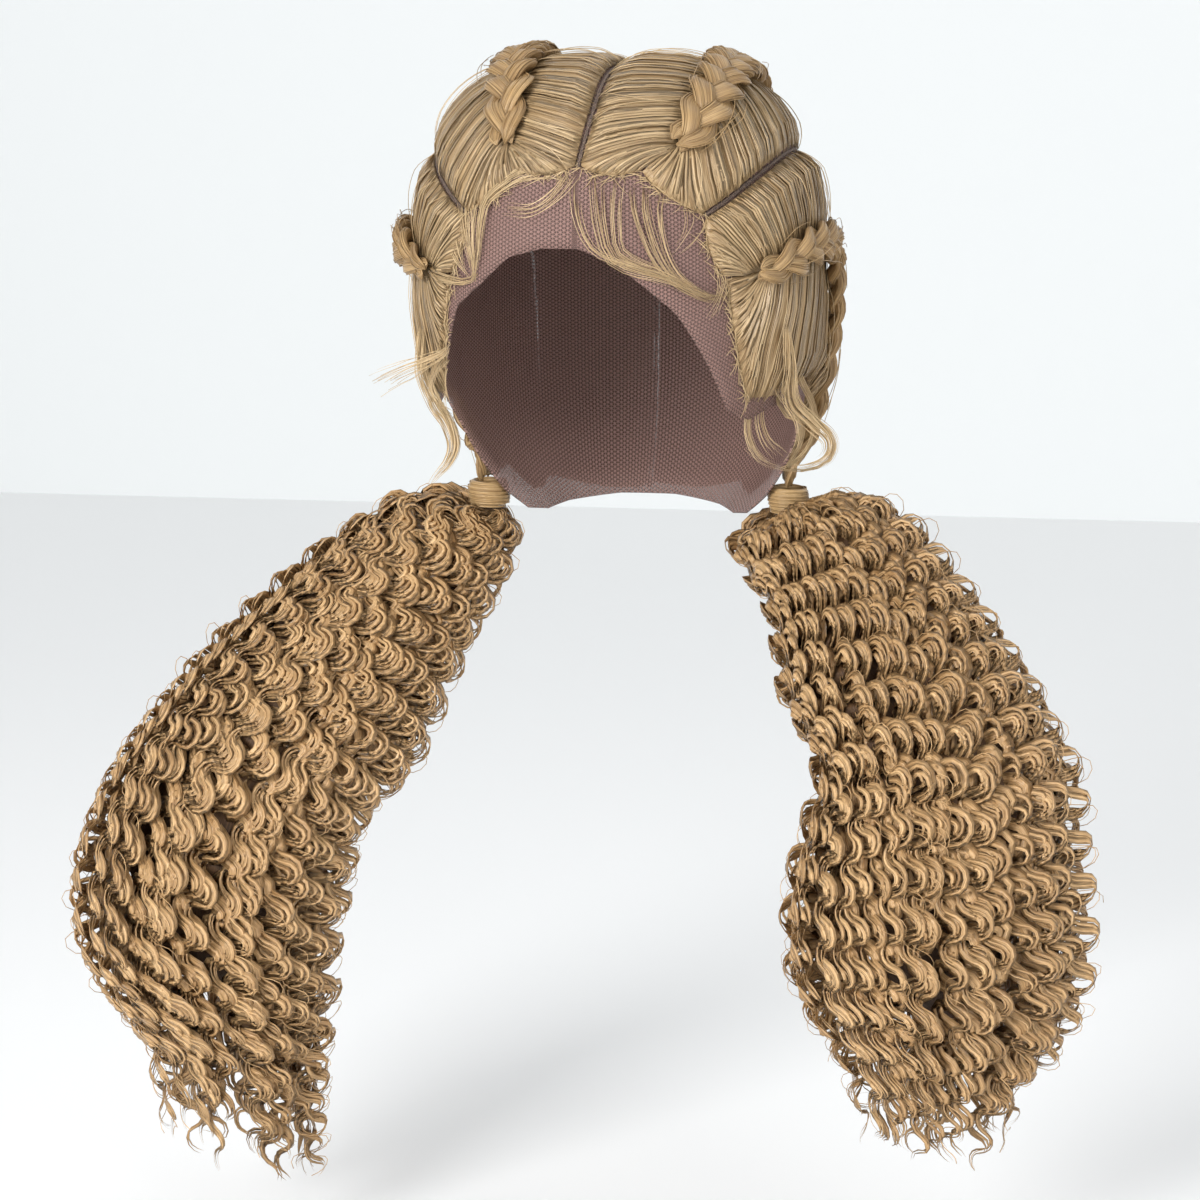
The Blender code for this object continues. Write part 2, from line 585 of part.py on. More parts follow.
def temple_curl(name, rows, under, parent):
    """Loose tapering curl that lies on the side hair at its root and then hangs free."""
    path = []
    for x, y, z, share, hug in smooth(placed(rows), CURL_RINGS):
        radius = share * CURL_RADIUS
        lying = scalp((x, y, z), CAP_WALL + PANEL_CLEARANCE + under + BRAID_GAP + radius)
        free = HEAD_CENTRE + Vector((x, y, z))
        path.append((free.lerp(lying, min(1, max(0, hug))), radius))
    rings = []
    for i, (point, radius) in enumerate(path):
        ahead = (path[min(i + 1, CURL_RINGS)][0] - path[max(i - 1, 0)][0]).normalized()
        wide = ahead.cross(Vector((0, 1, 0))).normalized()
        deep = ahead.cross(wide)
        rings.append([point + wide * (math.cos(math.tau * k / CURL_SIDES) * radius)
                      + deep * (math.sin(math.tau * k / CURL_SIDES) * radius)
                      for k in range(CURL_SIDES)])
    ends = [path[i][0] + (path[i][0] - path[j][0]) / 2 for i, j in ((0, 1), (-1, -2))]
    points, faces = loft(rings, *ends)
    return solid(name, points, faces, path[0][0], "blonde_fine_hair", parent)


def main():
    for old in list(bpy.data.objects):
        bpy.data.objects.remove(old, do_unlink=True)
    wig = bpy.data.objects.new("braid_wig", None)
    bpy.context.scene.collection.objects.link(wig)
    lace_cap(wig)
    for side, word, turned, crest, swell in (
            (1, "left", list, LEFT_TOP_CREST, LEFT_SIDE_PANEL),
            (-1, "right", mirrored, RIGHT_TOP_CREST, RIGHT_SIDE_PANEL)):
        side_crest = turned(SIDE_CREST)
        panel(f"top_panel_{word}", CENTRE_PART, crest, turned(SIDE_PART), TOP_PANEL, wig)
        panel(f"side_panel_{word}", turned(SIDE_PART), side_crest, turned(EAR_EDGE), swell, wig)
        braid(f"top_braid_{word}", crest[1:TOP_LEAVES], turned(TOP_FALL), TOP_STRANDS,
              TOP_PANEL["under_braid"], 1, side, wig)
        braid(f"side_braid_{word}", side_crest[1:SIDE_LEAVES], turned(SIDE_FALL), SIDE_STRANDS,
              swell["under_braid"], -1, side, wig)
        hair_wrap(f"hair_wrap_{word}", side, wig)
    ponytail("ponytail_left", LEFT_TAIL, LEFT_SIZE, LEFT_TIPS, 1, wig)
    ponytail("ponytail_right", RIGHT_TAIL, RIGHT_SIZE, RIGHT_TIPS, -1, wig)
    temple_curl("temple_curl_left", LEFT_CURL, LEFT_SIDE_PANEL["beside_braid"], wig)
    temple_curl("temple_curl_right", RIGHT_CURL, RIGHT_SIDE_PANEL["beside_braid"], wig)


main()
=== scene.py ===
"""Looks of the braided curly wig: sheer lace, combed hair, braids, ties and curls.

Metres, +Z up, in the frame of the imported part. The wearer looks along -Y and the
wearer's left is +X. The head form, the lines on the scalp and the tables of the braids
and ponytails are those of the part, so every piece lies where its solid does.
"""
import math

import bpy
import numpy as np
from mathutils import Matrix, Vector


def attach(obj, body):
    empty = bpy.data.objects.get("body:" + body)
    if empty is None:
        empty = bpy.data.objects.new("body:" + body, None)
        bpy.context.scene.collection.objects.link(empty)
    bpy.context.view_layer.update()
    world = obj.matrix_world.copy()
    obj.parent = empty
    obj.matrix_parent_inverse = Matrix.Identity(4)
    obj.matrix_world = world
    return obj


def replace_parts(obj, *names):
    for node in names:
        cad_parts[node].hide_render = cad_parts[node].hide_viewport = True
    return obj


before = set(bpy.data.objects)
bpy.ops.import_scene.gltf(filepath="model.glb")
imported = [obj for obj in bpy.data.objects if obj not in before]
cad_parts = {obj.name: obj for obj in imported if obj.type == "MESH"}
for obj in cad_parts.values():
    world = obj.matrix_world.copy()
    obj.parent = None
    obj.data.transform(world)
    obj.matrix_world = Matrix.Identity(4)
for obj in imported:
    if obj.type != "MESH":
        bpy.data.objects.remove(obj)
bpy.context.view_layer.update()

# Camera: place, turn to the left and tilt down, and the photo's focal length.
CAMERA_PLACE = (0.2597, -1.4727, 0.0212)
CAMERA_YAW, CAMERA_PITCH = math.radians(10.3), math.radians(9.48)
FOCAL_SHARE = 2.907       # focal length over the width of the frame
SENSOR = 36.0             # mm

FLOOR_HEIGHT = -0.515
WALL_PLACE = 2.3          # of the backdrop, behind the origin

WORLD_LIGHT = 0.60
WORLD_COLOUR = (0.95, 0.97, 1, 1)
LIGHTS = (                # name, place, watts and width
    ("key", (-0.8, -1.9, 0.55), 43, 0.8),
    ("fill", (1.4, -1.6, 0.2), 14, 1.0),
    ("top", (0.1, 0.1, 1.5), 5, 0.9),
)
LIGHTS_AIM = (0, 0, -0.2)
STAGE_REACH = 5.0
SHEETS = (                # name, near and far edge as y and z, colour and roughness
    ("floor", (-STAGE_REACH, FLOOR_HEIGHT), (WALL_PLACE, FLOOR_HEIGHT), (0.96, 0.96, 0.955), 0.6),
    ("backdrop", (WALL_PLACE, FLOOR_HEIGHT), (WALL_PLACE, STAGE_REACH), (0.93, 0.95, 0.945), 0.8),
)

# Finishes, colours linear: the dark and light of the stripes in hair, and its roughness
HAIR_TONES = {
    "combed_hair": ((0.16, 0.085, 0.028), (0.68, 0.49, 0.27), 0.36),
    "braided_hair": ((0.12, 0.056, 0.016), (0.60, 0.40, 0.19), 0.36),
    "curly_hair": ((0.22, 0.098, 0.025), (0.84, 0.55, 0.27), 0.34),
    # The hair inside a ponytail is painted near black: painted shade for the deep gaps between its
    # curls.
    "inner_hair": ((0.035, 0.015, 0.005), (0.20, 0.10, 0.035), 0.6),
    "wrapped_hair": ((0.17, 0.085, 0.026), (0.68, 0.46, 0.22), 0.36),
    "fine_hair": ((0.30, 0.18, 0.08), (0.80, 0.60, 0.34), 0.36),
}
GLOSS_CHANGE = 0.12       # by which the light of a stripe is less rough than the dark
HAIR_SPECULAR = 0.5
STRIPES_ACROSS = 2600.0   # noise cells to a metre across the hairs, and along them
STRIPES_ALONG = 60.0
STRIPES_SHIFT = 91.0      # sets the strands' stripes apart
STRIPES_RANGE = (0.36, 0.64)
STRIPES_SHARE = 0.55      # of the tone; the rest is the strand's own
BUMP_DEPTH = 0.0005
KNOTS_ACROSS = 1100.0     # noise cells to a metre
KNOT_RANGE = (0.38, 0.62)
KNOT_TONES = ((0.035, 0.024, 0.02), (0.20, 0.135, 0.10))
LACE_THREAD = (0.25, 0.148, 0.125)
LACE_HOLE = (0.155, 0.088, 0.072)
LACE_OPEN = 0.45          # how much is seen through a hole
HOLE_RANGE = (0.06, 0.30)

# Head form inside the cap, measured from the head centre.
HALF_WIDTH = 0.080
FRONT_DEPTH = 0.094
BACK_DEPTH = 0.100
CROWN_HEIGHT = 0.0965
NAPE_DEPTH = 0.125
PLAN_POWER = 2.2
CROWN_POWER = 3.2
NAPE_POWER = 2.7
CHEEK_TAPER = 0.20
CHEEK_DROP = 0.060
HEAD_CENTRE = np.array([0, 0, -CROWN_HEIGHT])
NORMAL_STEP = 0.001
SPLINE_STEPS = 12
LINE_STEPS = 240          # along a line on the scalp

CAP_WALL = 0.0012
# Heights of the cap's edge from the forehead round to the nape, as shares of the form:
# in front on the wearer's left and right, then the rest of both sides.
EDGE_STEP = 9             # degrees
LEFT_EDGE = (0.27, 0.21, 0.09, -0.04, -0.18, -0.33, -0.37)
RIGHT_EDGE = (0.27, 0.27, 0.23, 0.11, 0.01, -0.15, -0.3)
BACK_EDGE = (-0.34, -0.33, -0.32, -0.33, -0.37, -0.46, -0.6, -0.72, -0.79, -0.8, -0.78,
             -0.77, -0.76, -0.76)
CAP_COLUMNS, CAP_ROWS = 240, 26
CAP_SEARCH = (0.05, 2.84)  # fall of the edge from the crown lies between these
CAP_HALVINGS = 40         # of that range, to find it
NET_PITCH = 0.0013        # of the holes in the lace
NET_ROUND, NET_DROP = 0.5, 0.09   # metres of net round the head, and to a radian of fall

PANEL_CLEARANCE = 0.00115
PANEL_THIN = 0.0014
TOP_PANEL = {"under_braid": 0.0020, "beside_braid": 0.0038}
LEFT_SIDE_PANEL = {"under_braid": 0.0052, "beside_braid": 0.0064}
RIGHT_SIDE_PANEL = {"under_braid": 0.0032, "beside_braid": 0.0040}
NAPE_SWELL = 0.10
NAPE_FADE = (0.5, 0.7)
PART_HALF_GAP = 0.0008


def hundredths(rows):
    """Shares from rows that are typed in hundredths."""
    return [tuple(value / 100 for value in row) for row in rows]


CENTRE_PART = hundredths([
    (-1, -96, 62), (2, -89, 76), (4, -78, 88), (5, -47, 102), (4, -11, 102), (3, 30, 99),
    (1, 60, 87), (0, 84, 57), (0, 97, 10), (0, 98, -24), (0, 88, -56), (0, 80, -73),
])
SIDE_PART = hundredths([
    (61, -84, 41), (72, -73, 48), (85, -54, 58), (94, -15, 66), (93, 25, 65), (80, 60, 54),
    (68, 80, 26), (65, 85, -12), (62, 82, -40), (54, 72, -73),
])
LEFT_TOP_CREST = hundredths([
    (30, -94, 60), (46, -86, 70), (55, -80, 79), (60, -64, 89), (62, -33, 97), (62, 0, 102),
    (60, 25, 98), (54, 52, 85), (45, 76, 58), (38, 91, 21), (36, 95, -16), (36, 90, -44),
    (29, 79, -73),
])
RIGHT_TOP_CREST = hundredths([
    (-33, -93, 60), (-38, -89, 70), (-40, -86, 79), (-41, -72, 90), (-45, -43, 99),
    (-49, -5, 102), (-50, 25, 98), (-49, 52, 85), (-44, 76, 58), (-38, 91, 21),
    (-36, 95, -16), (-36, 90, -44), (-29, 79, -73),
])
SIDE_CREST = hundredths([
    (71, -79, 15), (82, -72, 17), (91, -65, 19), (99, -51, 24), (105, -26, 28),
    (107, 2, 26), (106, 20, 12), (102, 32, -8), (95, 44, -27), (82, 55, -48), (57, 66, -74),
])
EAR_EDGE = hundredths([
    (84, -53, -29), (90, -39, -30), (96, -16, -29), (99, 8, -30), (95, 30, -40),
    (85, 46, -54), (72, 56, -67), (59, 60, -75),
])

# Braids. weave, half_wide and half_high are those of the woven strands, which cross over
# and under each other inside the solid's outline, and the other sizes are the solid's.
STRAND_PERIOD = 0.048
BRAID_GAP = 0.0006
TOP_STRANDS = {"swing": 0.0060, "rise": 0.0012, "radius": 0.0052, "flatness": 0.62,
               "weave": 0.0022, "half_wide": 0.0050, "half_high": 0.0024}
SIDE_STRANDS = {"swing": 0.0046, "rise": 0.0010, "radius": 0.0042, "flatness": 0.80,
                "weave": 0.0021, "half_wide": 0.0040, "half_high": 0.0023}
BRAID_START_SCALE = 0.55
BRAID_END_SHARE = 0.47
TAPER_LENGTH = 0.028
END_RUN = 0.010
END_FLARE = 1.80
TOP_LEAVES, SIDE_LEAVES = 11, 7
TOP_FALL = hundredths([
    (45, 92, -37, 90), (62, 88, -52, 20), (81, 75, -60, 0),
])
SIDE_FALL = hundredths([
    (105, 33, -8, 100), (105, 43, -23, 50), (101, 49, -36, 0), (96, 52, -48, 0),
    (90, 49, -58, 0),
])
BRAID_STEP = 0.0022       # between rings of a woven strand
BRAID_SIDES = 16
BRAID_HAIRS = 8           # fine hairs over each woven strand
BRAID_FLYAWAYS = 20

WRAP_PLACE = (0.85, 0.51, -0.744)
WRAP_AXIS = np.array([0, 0, -1.0])
WRAP_SPREAD = np.array([-0.15, 0.99, 0])
WRAP_RADIUS = 0.0092
WRAP_LENGTH = 0.013
WRAP_GAP = 0.0005
WRAP_TURNS = 6
WRAP_ROUNDING = 0.0014    # by which its first and last turns draw in
BRAID_END_OFFSET = 0.53

LEFT_SIZE = {"length": 0.227, "spread": 0.140, "tip": 0.038}
RIGHT_SIZE = {"length": 0.234, "spread": 0.170, "tip": 0.058}
TAIL_FORWARD = 0.096
TAIL_HALF_DEPTH = 0.040
NECK_SHARE = 0.87
LEFT_TAIL = hundredths([
    (0, -10, 16, 4, 2, 42), (1, -16, 29, 7, 7, 65), (5, -15, 41, 8, 14, 80),
    (11, -7, 52, 6, 25, 88), (16, -3, 62, 5, 38, 93), (22, 0, 72, 4, 53, 95),
    (29, 3, 82, 3, 67, 95), (36, 11, 89, 2, 80, 95), (42, 15, 95, 1, 88, 95),
    (50, 13, 96, 1, 93, 95), (59, 9, 98, 1, 97, 97), (68, 7, 100, 2, 99, 97),
    (78, 9, 100, 3, 100, 95), (86, 15, 97, 2, 100, 88), (93, 22, 91, 1, 99, 78),
    (100, 28, 81, 0, 97, 65),
])
RIGHT_TAIL = hundredths([
    (1, -7, 14, 4, 2, 42), (3, -6, 24, 7, 7, 65), (8, -4, 34, 9, 14, 80),
    (14, 0, 44, 11, 25, 88), (20, 3, 53, 11, 38, 93), (26, 6, 61, 12, 51, 95),
    (32, 9, 69, 12, 63, 97), (39, 13, 76, 13, 74, 100), (45, 21, 83, 12, 81, 100),
    (53, 26, 90, 12, 86, 100), (62, 27, 96, 10, 89, 100), (71, 30, 99, 9, 91, 97),
    (81, 31, 98, 6, 92, 93), (90, 32, 91, 4, 92, 85), (99, 34, 81, 3, 91, 72),
])

# Locks of a ponytail: rings of them, each with its share of the radius, the number of
# locks, the strands in a lock, the width of a strand and the step between its rings.
LOCK_RINGS = (
    {"share": 0.93, "locks": 46, "strands": (2, 5), "half_wide": 0.00120, "step": 0.00155},
    {"share": 0.78, "locks": 32, "strands": (2, 3), "half_wide": 0.00220, "step": 0.0022},
)
LOCK_PERIOD = 0.0192      # of its curl
LOCK_SWING = 0.0046       # radius of the curl across the surface
LOCK_DEPTH = 0.0042       # and into it
LOCK_SPREAD = 0.0026      # half the width of a lock between its outer strands
LOCK_ROUND = 0.0010       # it sways along its run by this, which rounds the turns
LOCK_ROLL = 0.5           # how much a strand turns round with its curl
LOCK_FACING = 4.0         # locks face the front or the back more than the sides
LOCK_TURN = 2.0           # by which its depth runs ahead of its swing, in radians
FLATNESS = 0.36           # thickness of a strand over its width
FINE_WIDE, FINE_HIGH = 0.0002, 0.00016    # half the width and the height of a fine hair
GROWTH = 0.022            # run from the tie over which the curls reach full size
TIP_RUN = 0.050           # over which a lock thins out
CLUSTER = 4               # neighbouring locks that curl one after the other
CLUSTER_LAG = -0.35       # by this much of a radian each
LOCK_CROWDING = 0.1       # towards the front and back, where a ponytail is flatter
WANDER = 0.07             # how far a lock strays round the ponytail, in radians
LENGTH_CUT = 0.045        # by which the shortest locks fall short
TIP_REACH = 1.12          # of the longest locks, over the length of the solid's tips
HANG_ROWS = 12
TAIL_ROWS = 220
CORE_SHARE = 0.72         # size of the dense hair inside a ponytail, of the outline
CORE_RIDGE = 0.07
CORE_SIDES = 48
CORE_END = 0.90           # share of the run where it closes
CORE_MESH = (0.006, 0.004)  # metres of stripes to a face, round it and along it
FLYAWAYS = 14             # long stray hairs of a ponytail
FRIZZ = 110               # short ones
FRIZZ_RINGS = 28

LEFT_CURL = hundredths([
    (90, -53, -6, 46, 100), (91, -50, -13, 77, 100), (95, -45, -22, 92, 80),
    (101, -40, -33, 100, 0), (110, -36, -39, 92, 0), (119, -34, -45, 85, 0),
    (117, -34, -51, 77, 0), (106, -35, -54, 54, 0), (96, -36, -53, 31, 0),
])
RIGHT_CURL = hundredths([
    (-85, -61, -8, 46, 100), (-86, -57, -14, 69, 100), (-90, -53, -23, 85, 100),
    (-88, -51, -33, 88, 0), (-81, -49, -41, 81, 0), (-78, -48, -48, 69, 0),
    (-81, -48, -54, 54, 0), (-89, -48, -60, 38, 0), (-93, -48, -65, 27, 0),
])
CURL_RADIUS = 0.0026
CURL_HAIRS = 44

# Fine hairs swept over the lace, along lines read off the photo: how many, half the width
# of the wisp in metres at its roots and at its tip, whether it hangs free of the head, and
# the x and y of its points in turn, in the photo's own pixels.
PHOTO_SIZE = 1200
HEAD_RANGE = (1.2, 1.75)  # metres from the camera
RAY_STEPS = 500
SWEPT_RINGS = 16
SWEPT_HAIR = (
    (26, 0.005, 0.0012, False,
     (562, 171, 528, 176, 507, 189, 493, 204, 488, 227, 485, 255, 480, 279)),
    (26, 0.008, 0.001, False,
     (472, 196, 474, 215, 477, 240, 480, 262, 479, 281)),
    (12, 0.007, 0.001, False,
     (456, 222, 462, 245, 470, 264, 478, 280)),
    (24, 0.0012, 0.003, False,
     (481, 272, 473, 281, 458, 279, 443, 274, 427, 270, 412, 266)),
    (10, 0.004, 0.004, False,
     (573, 172, 562, 190, 546, 205, 530, 212, 506, 210)),
    (26, 0.009, 0.001, False,
     (604, 178, 604, 205, 607, 232, 613, 254, 630, 266, 655, 274, 675, 283, 692, 292, 711,
      297, 728, 292)),
    (8, 0.003, 0.001, False,
     (577, 176, 576, 202, 579, 222, 587, 242, 600, 256, 624, 265, 650, 274, 676, 284, 700,
      296)),
    (26, 0.008, 0.001, False,
     (647, 188, 646, 210, 651, 235, 659, 258, 671, 277, 686, 289, 705, 298, 728, 295)),
    (5, 0.006, 0.003, False,
     (694, 212, 690, 226, 682, 241, 668, 257)),
    (8, 0.006, 0.004, False,
     (713, 262, 718, 280, 712, 300, 703, 318)),
    (18, 0.004, 0.004, False,
     (449, 205, 436, 225, 428, 250, 424, 275, 415, 296)),
    (18, 0.0015, 0.009, True,
     (452, 346, 442, 354, 430, 360, 418, 365, 405, 370, 391, 377, 375, 386)),
    (10, 0.003, 0.003, True,
     (450, 356, 436, 372, 432, 388, 440, 404, 452, 414)),
    (18, 0.004, 0.0015, True,
     (765, 366, 756, 386, 749, 406, 746, 427, 751, 446, 763, 461, 782, 469)),
    (26, 0.006, 0.002, True,
     (788, 362, 802, 384, 811, 404, 814, 425, 808, 446, 796, 460, 780, 469)),
    (26, 0.007, 0.003, True,
     (776, 366, 780, 388, 791, 406, 799, 425, 797, 446, 786, 464)),
    (16, 0.004, 0.004, True,
     (772, 370, 762, 396, 759, 420, 766, 442, 782, 458)),
    (14, 0.0012, 0.0008, True,
     (784, 345, 777, 372, 776, 396, 783, 413, 797, 421, 813, 420, 827, 430, 833, 446, 827,
      461, 809, 469, 785, 469, 761, 461, 745, 448)),
)
ROOT_PITCH = 0.00055      # between the short hairs along the hairline
ROOT_RINGS = 6
ROOT_LENGTH = (0.002, 0.009)
HEAD_FLYAWAYS = 22        # to each half of a panel
PART_STRIP = 0.0010       # half the width of the knotted line of a parting
PART_RINGS = 160

# Combed hair
COMB_PITCH = 0.00112      # between the strands of combed hair
COMB_POINTS = 9
COMB_HALF_WIDE, COMB_HALF_HIGH = 0.0010, 0.00045
COMB_SHARE = 0.98         # of the hairline that is combed
COMB_SHORT = 0.002        # by which the combing stops short of the end of a parting
UNDER_COARSER = 1.6       # pitch of the hair under the strands, over theirs
UNDER_DROP, UNDER_THIN = 0.0007, 0.0001   # how far it lies under them, and its least rise
OVER_CAP = 0.0003
INWARD_STEP = 0.04        # share of a parting that shows which way it starts
COMB_SLANT = 0.005        # how much further back a strand from a parting reaches its braid
SECTION = 0.0085          # width of one combed section
SECTION_RISE = 0.0013
HAIRLINE_BULGE = 0.0035   # of the hairline between two of its corners


def unit(v):
    return v / np.maximum(np.linalg.norm(v, axis=-1, keepdims=True), 1e-12)


def place(rows):
    """Metres from the head centre for rows whose first three values are shares of it."""
    rows = np.array(rows, float)
    rows[:, 0] *= HALF_WIDTH
    rows[:, 1] *= np.where(rows[:, 1] < 0, FRONT_DEPTH, BACK_DEPTH)
    rows[:, 2] *= np.where(rows[:, 2] > 0, CROWN_HEIGHT, NAPE_DEPTH)
    return rows


def scalp(aim, lift=0.0):
    """Points on the head form in the directions of aim, lifted along its normals."""
    away = unit(np.asarray(aim, float)[..., :3])
    depth = np.where(away[..., 1] < 0, FRONT_DEPTH, BACK_DEPTH)
    upper = away[..., 2] > 0
    height = np.where(upper, CROWN_HEIGHT, NAPE_DEPTH)
    power = np.where(upper, CROWN_POWER, NAPE_POWER)
    size = np.stack([np.full_like(depth, HALF_WIDTH), depth, height], -1)
    x, y, z = np.moveaxis(np.abs(away) / size, -1, 0)
    plan = np.maximum(x ** PLAN_POWER + y ** PLAN_POWER, 1e-9)
    reach = (plan ** (power / PLAN_POWER) + z ** power) ** (-1 / power)
    spread = plan ** (power / PLAN_POWER - 1)
    normal = np.stack([spread * x ** (PLAN_POWER - 1), spread * y ** (PLAN_POWER - 1),
                       z ** (power - 1)], -1)
    normal = unit(normal / size * np.sign(away))
    point = away * reach[..., None] + normal * np.asarray(lift)[..., None]
    forward = np.clip(-point[..., 1] / FRONT_DEPTH, 0, 1)
    below = np.clip(-point[..., 2] / CHEEK_DROP, 0, 1)
    point[..., 0] *= 1 - CHEEK_TAPER * forward * below
    return HEAD_CENTRE + point


def normal_at(aim):
    return unit(scalp(aim, NORMAL_STEP) - scalp(aim))


def travel(points):
    """Distance along a line to each of its points."""
    run = np.linalg.norm(np.diff(points, axis=0), axis=1)
    return np.concatenate([[0], np.cumsum(run)])


def smooth(rows, count):
    """count + 1 rows evenly spaced along a smooth curve through the given rows."""
    rows = np.array(rows, float)
    p = np.vstack([rows[:1], rows, rows[-1:]])
    t = (np.arange(SPLINE_STEPS) / SPLINE_STEPS)[None, :, None]
    a, b, c, d = (p[k:len(p) - 3 + k, None] for k in range(4))
    dense = 0.5 * (2 * b + (c - a) * t + (2 * a - 5 * b + 4 * c - d) * t * t
                   + (3 * b - a - 3 * c + d) * t ** 3)
    dense = np.vstack([dense.reshape(-1, rows.shape[1]), rows[-1:]])
    travelled = travel(dense[:, :3])
    even = np.linspace(0, travelled[-1], count + 1)
    return np.stack([np.interp(even, travelled, column) for column in dense.T], 1)


def mirrored(rows):
    return [(-row[0],) + tuple(row[1:]) for row in rows]


def ring_quads(rings, sides, start=0):
    """Faces between rings of points numbered from start."""
    ring = np.arange(rings - 1)[:, None] * sides + start
    side = np.arange(sides)
    after = (side + 1) % sides
    corners = [ring + side, ring + after, ring + sides + after, ring + sides + side]
    return np.stack(corners, -1).reshape(-1, 4)


class Batch:
    """Many closed tubes and slabs gathered into one mesh."""

    def __init__(self):
        self.points, self.faces, self.uvs, self.shades = [], [], [], []
        self.count = 0

    def add(self, points, faces, uvs, shades):
        self.points.append(points.reshape(-1, 3))
        self.shades.append(np.broadcast_to(shades, points.shape[:-1]).reshape(-1))
        self.faces.append(faces + self.count)
        self.uvs.append(uvs)
        self.count += points.size // 3

    def tubes(self, path, up, half_wide, half_high, profile, shade=0.5):
        """Closed tubes along paths of shape (tube, ring, 3). The profile's points go round
        the tube, with x along its width and y along up."""
        count, rings, _ = path.shape
        sides = len(profile)
        ahead = unit(np.gradient(path, axis=1))
        wide = unit(np.cross(up, ahead))
        high = np.cross(ahead, wide)
        half_wide = np.broadcast_to(half_wide, (count, rings))[..., None, None]
        half_high = np.broadcast_to(half_high, (count, rings))[..., None, None]
        px, py = profile[:, 0][:, None], profile[:, 1][:, None]
        points = (path[:, :, None] + wide[:, :, None] * px * half_wide
                  + high[:, :, None] * py * half_high)
        faces = ring_quads(rings, sides, np.arange(count)[:, None, None] * rings * sides)
        run = np.linalg.norm(np.diff(path, axis=1), axis=2)
        along = np.concatenate([np.zeros((count, 1)), np.cumsum(run, 1)], 1)
        edge = (np.roll(profile, -1, 0) - profile) * (half_wide.max(), half_high.max())
        girth = np.concatenate([[0], np.cumsum(np.linalg.norm(edge, axis=1))])
        u0, u1, v0, v1 = np.broadcast_arrays(girth[:-1], girth[1:], along[:, :-1, None],
                                             along[:, 1:, None])
        uvs = np.stack([u0, v0, u1, v0, u1, v1, u0, v1], -1).reshape(-1, 4, 2)
        shade = np.broadcast_to(np.asarray(shade, float).reshape(-1, 1, 1),
                                (count, rings, sides))
        self.add(points, faces, uvs, shade)
        first = (np.arange(count) * rings * sides)[:, None] + np.arange(sides)[::-1]
        last = first[:, ::-1] + (rings - 1) * sides
        for ends, index in ((first, 0), (last, -1)):
            self.faces.append(ends + self.count - points.size // 3)
            cap_v = np.broadcast_to(along[:, index][:, None], ends.shape)
            self.uvs.append(np.stack([np.zeros(ends.shape), cap_v], -1))

    def slab(self, top, bottom, uv, shade=0.5):
        """Closed body between two grids of points of the same shape."""
        rows, columns, _ = top.shape
        number = np.arange(rows * columns).reshape(rows, columns)
        quads = np.stack([number[:-1, :-1], number[1:, :-1],
                          number[1:, 1:], number[:-1, 1:]], -1).reshape(-1, 4)
        a, b, c = (top[0, 0], top[1, 0], top[0, 1])
        flipped = np.dot(np.cross(b - a, c - a), a - bottom[0, 0]) < 0
        quads = quads[:, ::-1] if flipped else quads
        rim = np.concatenate([number[:-1, 0], number[-1, :-1], number[:0:-1, -1],
                              number[0, :0:-1]])
        after = np.roll(rim, -1)
        shift = rows * columns
        sides = np.stack([rim, rim + shift, after + shift, after], -1)
        sides = sides[:, ::-1] if flipped else sides
        faces = np.concatenate([quads, quads[:, ::-1] + shift, sides])
        flat = np.concatenate([uv.reshape(-1, 2)] * 2)
        self.add(np.stack([top, bottom]), faces, flat[faces], shade)

    def rings(self, points, faces, flat, ends, shade):
        """Closed body through rings of points, with its two ends filled."""
        before = self.count
        self.add(points, faces, flat[faces], shade)
        for end in ends:
            self.faces.append(end[None] + before)
            self.uvs.append(flat[end][None])

    def build(self, name, finish, slot):
        mesh = bpy.data.meshes.new(name)
        points = np.concatenate(self.points).astype(np.float32)
        corners = np.concatenate([f.ravel() for f in self.faces]).astype(np.int32)
        sizes = np.concatenate([np.full(len(f), f.shape[1]) for f in self.faces])
        starts = np.concatenate([[0], np.cumsum(sizes)[:-1]]).astype(np.int32)
        mesh.vertices.add(len(points))
        mesh.vertices.foreach_set("co", points.ravel())
        mesh.loops.add(len(corners))
        mesh.loops.foreach_set("vertex_index", corners)
        mesh.polygons.add(len(starts))
        mesh.polygons.foreach_set("loop_start", starts)
        mesh.update(calc_edges=True)
        uv = np.concatenate([u.reshape(-1) for u in self.uvs]).astype(np.float32)
        mesh.uv_layers.new(name="strand").data.foreach_set("uv", uv)
        shade = mesh.attributes.new("shade", "FLOAT", "POINT")
        shade.data.foreach_set("value", np.concatenate(self.shades).astype(np.float32))
        mesh.shade_smooth()
        mesh.materials.append(finish)
        piece = bpy.data.objects.new(name, mesh)
        bpy.context.scene.collection.objects.link(piece)
        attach(piece, "root")
        return piece


def circle(sides):
    turn = math.tau * np.arange(sides) / sides
    return np.stack([np.cos(turn), np.sin(turn)], -1)


RIBBON = np.array([(1, 0.35), (-1, 0.35), (0, -0.8)])   # flat side outwards
THREAD = circle(3)


def ridged(sides, depth, rng):
    """Round profile with uneven hair ridges."""
    return circle(sides) * (1 - depth * rng.random(sides))[:, None]


def tapered(count, root, tip):
    """Sizes along a strand that comes to a point over the given shares of its rings."""
    t = np.linspace(0, 1, count)
    return np.minimum(1, np.minimum(0.05 + t / root, 0.05 + (1 - t) / tip))


def comb_line(rows, q):
    """Aims at shares q along a line on the scalp."""
    fine = smooth(place(rows), LINE_STEPS)[:, :3]
    fine = scalp(fine) - HEAD_CENTRE
    grid = np.linspace(0, 1, len(fine))
    return np.stack([np.interp(q, grid, fine[:, k]) for k in range(3)], -1)


